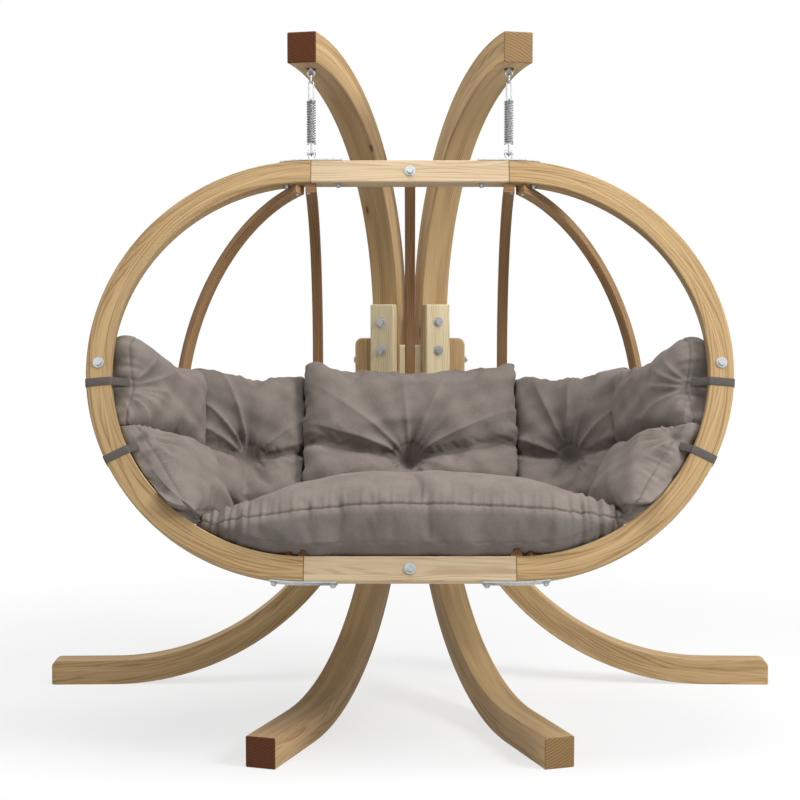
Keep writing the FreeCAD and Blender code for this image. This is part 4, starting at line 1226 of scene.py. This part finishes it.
@dataclass
class Cushions:
    """Seat, three back pads and four side pads."""

    globe: Globe
    cloth: Cloth = Cloth((0.250, 0.213, 0.189), (0.110, 0.090, 0.077))
    center_edge: float = 0.306
    split: float = math.radians(42.0)
    seat_top: float = -0.262
    pad_split: float = -0.165
    shoulder: tuple[float, float, float] = (0.449, 0.0, -0.322)
    shoulder_slope: float = math.radians(21.0)

    def pads(self) -> list[Pad]:
        """All the pads with their walls."""
        out = (math.cos(self.split), -math.sin(self.split), 0.0)
        back = (-out[0], -out[1], 0.0)
        slope = (math.sin(self.shoulder_slope), 0.0, math.cos(self.shoulder_slope))
        corner = (*self.globe.hoop_center, 0.0)
        edge = (self.center_edge, 0.0, 0.0)
        split = (0.0, 0.0, self.pad_split)
        up, right = (0.0, 0.0, 1.0), (1.0, 0.0, 0.0)
        down, left = (0.0, 0.0, -1.0), (-1.0, 0.0, 0.0)
        over_seat = Wall((0.0, 0.0, self.seat_top), down)
        on_seat = Wall(self.shoulder, (-slope[0], 0.0, -slope[2]))
        before, behind = Wall(corner, out), Wall(corner, back)
        tuft = Pull(0.0, -0.085, 0.062, 0.085, crease=0.034, folds=0.014, upward=1.9)
        high_strap = Pull(0.185, -0.020, 0.018, 0.090, folds=0.0055)
        low_strap = Pull(0.165, 0.085, 0.016, 0.090, folds=0.0055)
        made: list[Pad] = [
            Seat("seat_cushion", self.globe, 0, (0.0, 0.153, -0.393), 0.0, 0.0, (1.124, 0.394, 0.262),
                 (), (Wall(self.shoulder, slope),), 3.3, fill=0.8, soften=3, grow=0.012),
            Pad("back_cushion_center", self.globe, 0, (0.0, 0.421, -0.075), 0.0, 8.0, (0.612, 0.150, 0.382),
                (tuft,), (Wall(edge, right), over_seat), 1.7, stretch=(1.07, 1.12), pivot=-0.07)]
        for side, word, seed in ((-1, "left", 6.1), (1, "right", 9.4)):
            made += [
                Pad("back_cushion_" + word, self.globe, side, (0.4734, 0.4206, -0.075), 18.0, 8.0,
                    (0.350, 0.150, 0.382), (tuft,), (Wall(edge, left), before, on_seat), seed,
                    stretch=(1.10, 1.22), pivot=0.19),
                Pad("side_cushion_upper_" + word, self.globe, side, (0.7128, 0.2051, -0.0365), 66.0, 0.0,
                    (0.390, 0.150, 0.265), (high_strap,), (behind, Wall(split, down)), seed + 1.0,
                    stretch=(1.03, 1.09), pivot=0.13),
                Pad("side_cushion_lower_" + word, self.globe, side, (0.622, 0.150, -0.290), 66.0, 35.0,
                    (0.370, 0.150, 0.300), (low_strap,), (behind, Wall(split, up), on_seat), seed + 2.0,
                    stretch=(1.03, 1.13))]
        return made

    def build(self) -> None:
        """Make and dress every pad."""
        pads = self.pads()
        for pad in pads:
            pad.rough_out()
        self.swell(pads)
        for pad in pads:
            pad.finish(self.cloth)
            log.info("%s: %d points", pad.obj.name, len(pad.obj.data.vertices))

    def swell(self, pads: Sequence[Pad]) -> None:
        """Blow all the pads up in one short cloth simulation."""
        for pad in pads:
            pad.stuff()
        for number in range(1, SWELL_FRAMES + 1):
            bpy.context.scene.frame_set(number)
        for pad in pads:
            pad.take_shape()
        bpy.context.scene.frame_set(1)


@dataclass
class Straps:
    """Four webbing straps from the side pads round the ring."""

    globe: Globe
    angles: tuple[float, float] = (math.radians(-5.5), math.radians(-27.0))
    width: float = 0.022
    thickness: float = 0.002
    gap: float = 0.0012
    corner: float = 0.005
    anchor: tuple[float, float] = (0.478, 0.012)
    corner_steps: int = 4
    edge: float = 0.0006
    turn_length: float = 0.03

    def loop(self) -> list[tuple[float, float]]:
        """The strap's way round the ring's section, as radius and depth, from the pad and back to it."""
        low, high = self.globe.ring_inner - self.gap, self.globe.ring_outer + self.gap
        deep = self.globe.half_depth + self.gap
        corners = ((low, -deep, 90.0), (high, -deep, 0.0), (high, deep, -90.0), (low, deep, -180.0))
        way = [self.anchor]
        for radius, depth, start in corners:
            mid_r = radius + (self.corner if radius == low else -self.corner)
            mid_d = depth + (self.corner if depth < 0 else -self.corner)
            for number in range(self.corner_steps + 1):
                turn = math.radians(start + 90.0 - 90.0 * number / self.corner_steps)
                way.append((mid_r + self.corner * math.cos(turn), mid_d - self.corner * math.sin(turn)))
        return way + [self.anchor]

    def strap(self, name: str, side: int, angle: float) -> bpy.types.Object:
        """Draw one strap by extruding its first edge step by step.

        Args:
            name: Name of the object.
            side: -1 for the left, 1 for the right.
            angle: Place on the ring's round end, up from level.

        Returns:
            The finished object.
        """
        spin = self.globe.matrix.to_3x3()
        out = spin @ Vector((side * math.cos(angle), 0.0, math.sin(angle)))
        back = spin @ Vector((0.0, 1.0, 0.0))
        tall = spin @ Vector((-side * math.sin(angle), 0.0, math.cos(angle)))
        hub = self.globe.matrix @ Vector((side * self.globe.hang_half, 0.0, 0.0))
        points = [hub + out * radius + back * depth for radius, depth in self.loop()]
        bpy.ops.object.select_all(action="DESELECT")
        bpy.ops.mesh.primitive_plane_add(size=1.0, location=(0.0, 0.0, 0.0))
        obj = bpy.context.object
        obj.name = name
        ends = (points[0], points[1])
        for vertex in obj.data.vertices:
            end = ends[0] if vertex.co.x < 0 else ends[1]
            vertex.co = end + tall * math.copysign(self.width / 2, vertex.co.y)
        bpy.ops.object.mode_set(mode="EDIT")
        bpy.ops.mesh.select_mode(type="VERT")
        bpy.ops.mesh.select_all(action="DESELECT")
        bpy.ops.object.mode_set(mode="OBJECT")
        for vertex in obj.data.vertices:
            way = vertex.co - points[1]
            vertex.select = abs(way.dot(out)) + abs(way.dot(back)) < 1e-5
        bpy.ops.object.mode_set(mode="EDIT")
        bpy.ops.mesh.select_mode(type="EDGE")
        for start, end in zip(points[1:], points[2:]):
            bpy.ops.mesh.extrude_region_move(TRANSFORM_OT_translate={"value": end - start})
        bpy.ops.mesh.select_all(action="SELECT")
        bpy.ops.mesh.normals_make_consistent(inside=False)
        bpy.ops.object.mode_set(mode="OBJECT")
        modify(obj, "SOLIDIFY", thickness=self.thickness, offset=0.0)
        modify(obj, "BEVEL", width=self.edge, segments=2, limit_method="ANGLE")
        self.measure(obj, hub, out, back, tall)
        activate(obj)
        bpy.ops.object.shade_smooth_by_angle(angle=SMOOTH_BELOW)
        return obj

    def measure(self, obj: bpy.types.Object, hub: Vector, out: Vector, back: Vector, tall: Vector) -> None:
        """Keep each point's place along and across the strap for the weave.

        Args:
            obj: The strap.
            hub: Middle of the ring's round end.
            out: Outward way at the strap.
            back: Way to the chair's back.
            tall: Way across the strap.
        """
        points = read_points(obj) - np.array(hub)
        radius, depth = points @ np.array(out), points @ np.array(back)
        angle = np.arctan2(depth, radius - self.globe.ring_middle)
        mark(obj, "along", angle * self.turn_length + radius + 0.5 * depth)
        mark(obj, "across", points @ np.array(tall))

    def build(self, webbing: Webbing) -> None:
        """Make the four straps, which stand for one CAD node.

        Args:
            webbing: Their finish.
        """
        material = webbing.material("webbing")
        for side, word in ((-1, "left"), (1, "right")):
            for level, angle in zip(("upper", "lower"), self.angles):
                obj = self.strap("strap_%s_%s" % (level, word), side, angle)
                coat(obj, material)
                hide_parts("ring_straps")
                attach(obj, "chair")
                log.info("%s: %d points", obj.name, len(obj.data.vertices))


# Studio

@dataclass(frozen=True)
class Lamp:
    """A square area lamp that shines at a point; lengths in metres, power in watts."""

    name: str
    at: tuple[float, float, float]
    target: tuple[float, float, float]
    size: float
    power: float

    def build(self) -> None:
        """Add the lamp."""
        data = bpy.data.lights.new(self.name, "AREA")
        data.size = self.size
        data.energy = self.power
        lamp = bpy.data.objects.new(self.name, data)
        lamp.location = self.at
        way = Vector(self.target) - Vector(self.at)
        lamp.rotation_euler = way.to_track_quat("-Z", "Y").to_euler()
        bpy.context.scene.collection.objects.link(lamp)


@dataclass
class Studio:
    """Pale floor, white surround, soft lamps and the camera."""

    lens: float = 75.6
    distance: float = 4.702
    height: float = 1.272
    look_down: float = 0.069
    shift: float = -0.0125
    sensor: float = 36.0
    ambient: float = 0.27
    floor_size: float = 60.0
    lamps: tuple[Lamp, ...] = (Lamp("key", (3.7, -2.3, 3.5), (0.0, -0.1, 0.9), 1.7, 215.0),
                               Lamp("fill", (-3.2, -4.0, 2.6), (0.0, 0.0, 1.0), 3.0, 34.0),
                               Lamp("top", (-0.2, -0.8, 4.6), (0.0, -0.1, 0.8), 2.2, 112.0))

    def camera(self, hang_y: float) -> None:
        """Set up the camera in front of the hang line.

        Args:
            hang_y: Y of the line through the two hang points.
        """
        data = bpy.data.cameras.new("camera")
        data.lens = self.lens
        data.sensor_width = self.sensor
        data.shift_x = self.shift
        camera = bpy.data.objects.new("camera", data)
        camera.location = (0.0, hang_y - self.distance, self.height)
        camera.rotation_euler = (math.pi / 2 - self.look_down, 0.0, 0.0)
        bpy.context.scene.collection.objects.link(camera)
        bpy.context.scene.camera = camera

    def surround(self) -> None:
        """White world for the camera and for reflections, softer as a light."""
        world = bpy.data.worlds.new("surround")
        world.use_nodes = True
        nodes = Nodes(world.node_tree)
        level = nodes.node("ShaderNodeMapRange", None, {"Value": nodes.seen(), "To Min": self.ambient})
        glow = nodes.node("ShaderNodeBackground", None,
                          {"Color": (1.0, 1.0, 1.0), "Strength": level.outputs[0]})
        nodes.node("ShaderNodeOutputWorld", None, {"Surface": glow.outputs[0]})
        bpy.context.scene.world = world

    def floor(self) -> None:
        """Pale floor that keeps the shadows, lightened for the camera."""
        bpy.ops.object.select_all(action="DESELECT")
        bpy.ops.mesh.primitive_plane_add(size=self.floor_size, location=(0.0, 0.0, 0.0))
        plane = bpy.context.object
        plane.name = "floor"
        r = Recipe("floor_pale")
        stain = r.cloud(r.point(), 3.0, 3.0)
        r.dress(Base_Color=r.mix(stain, (0.86, 0.86, 0.86), (0.88, 0.88, 0.88)), Roughness=0.9)
        glow = r.node("ShaderNodeEmission", None, {"Color": (1.0, 1.0, 1.0), "Strength": 1.0})
        x, y, _ = r.split(r.point())
        far = (x * x + y * y).math("SQRT").rise(1.1, 3.0)
        white = r.seen() * (far * 0.30 + 0.70)
        mixed = r.node("ShaderNodeMixShader", None, {0: white, 1: r.shader.outputs[0], 2: glow.outputs[0]})
        r.feed(r.out.inputs["Surface"], mixed.outputs[0])
        coat(plane, r.material)

    def build(self, hang_y: float) -> None:
        """Camera, lamps, surround and floor.

        Args:
            hang_y: Y of the line through the two hang points.
        """
        bpy.context.scene.view_settings.view_transform = "Standard"
        self.camera(hang_y)
        self.surround()
        self.floor()
        for lamp in self.lamps:
            lamp.build()


def report_size() -> None:
    """Update the view layer."""
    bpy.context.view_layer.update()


def main() -> None:
    """Build the classes in order, and log the hang line, the ring's middle and the point counts of the pads
    and straps.
    """
    logging.basicConfig(level=logging.INFO, format="%(name)s: %(message)s")
    hang_y = find_joint("swing")["pos_m"][1]
    globe = Globe()
    log.info("hang line at %.4f, ring middle at %s", hang_y, globe.middle)
    Stand().dress(hang_y)
    Hangers().dress()
    ChairFrame(globe).dress()
    Cushions(globe).build()
    Straps(globe).build(Webbing())
    Studio().build(hang_y)
    report_size()


if __name__ == "__main__":
    main()
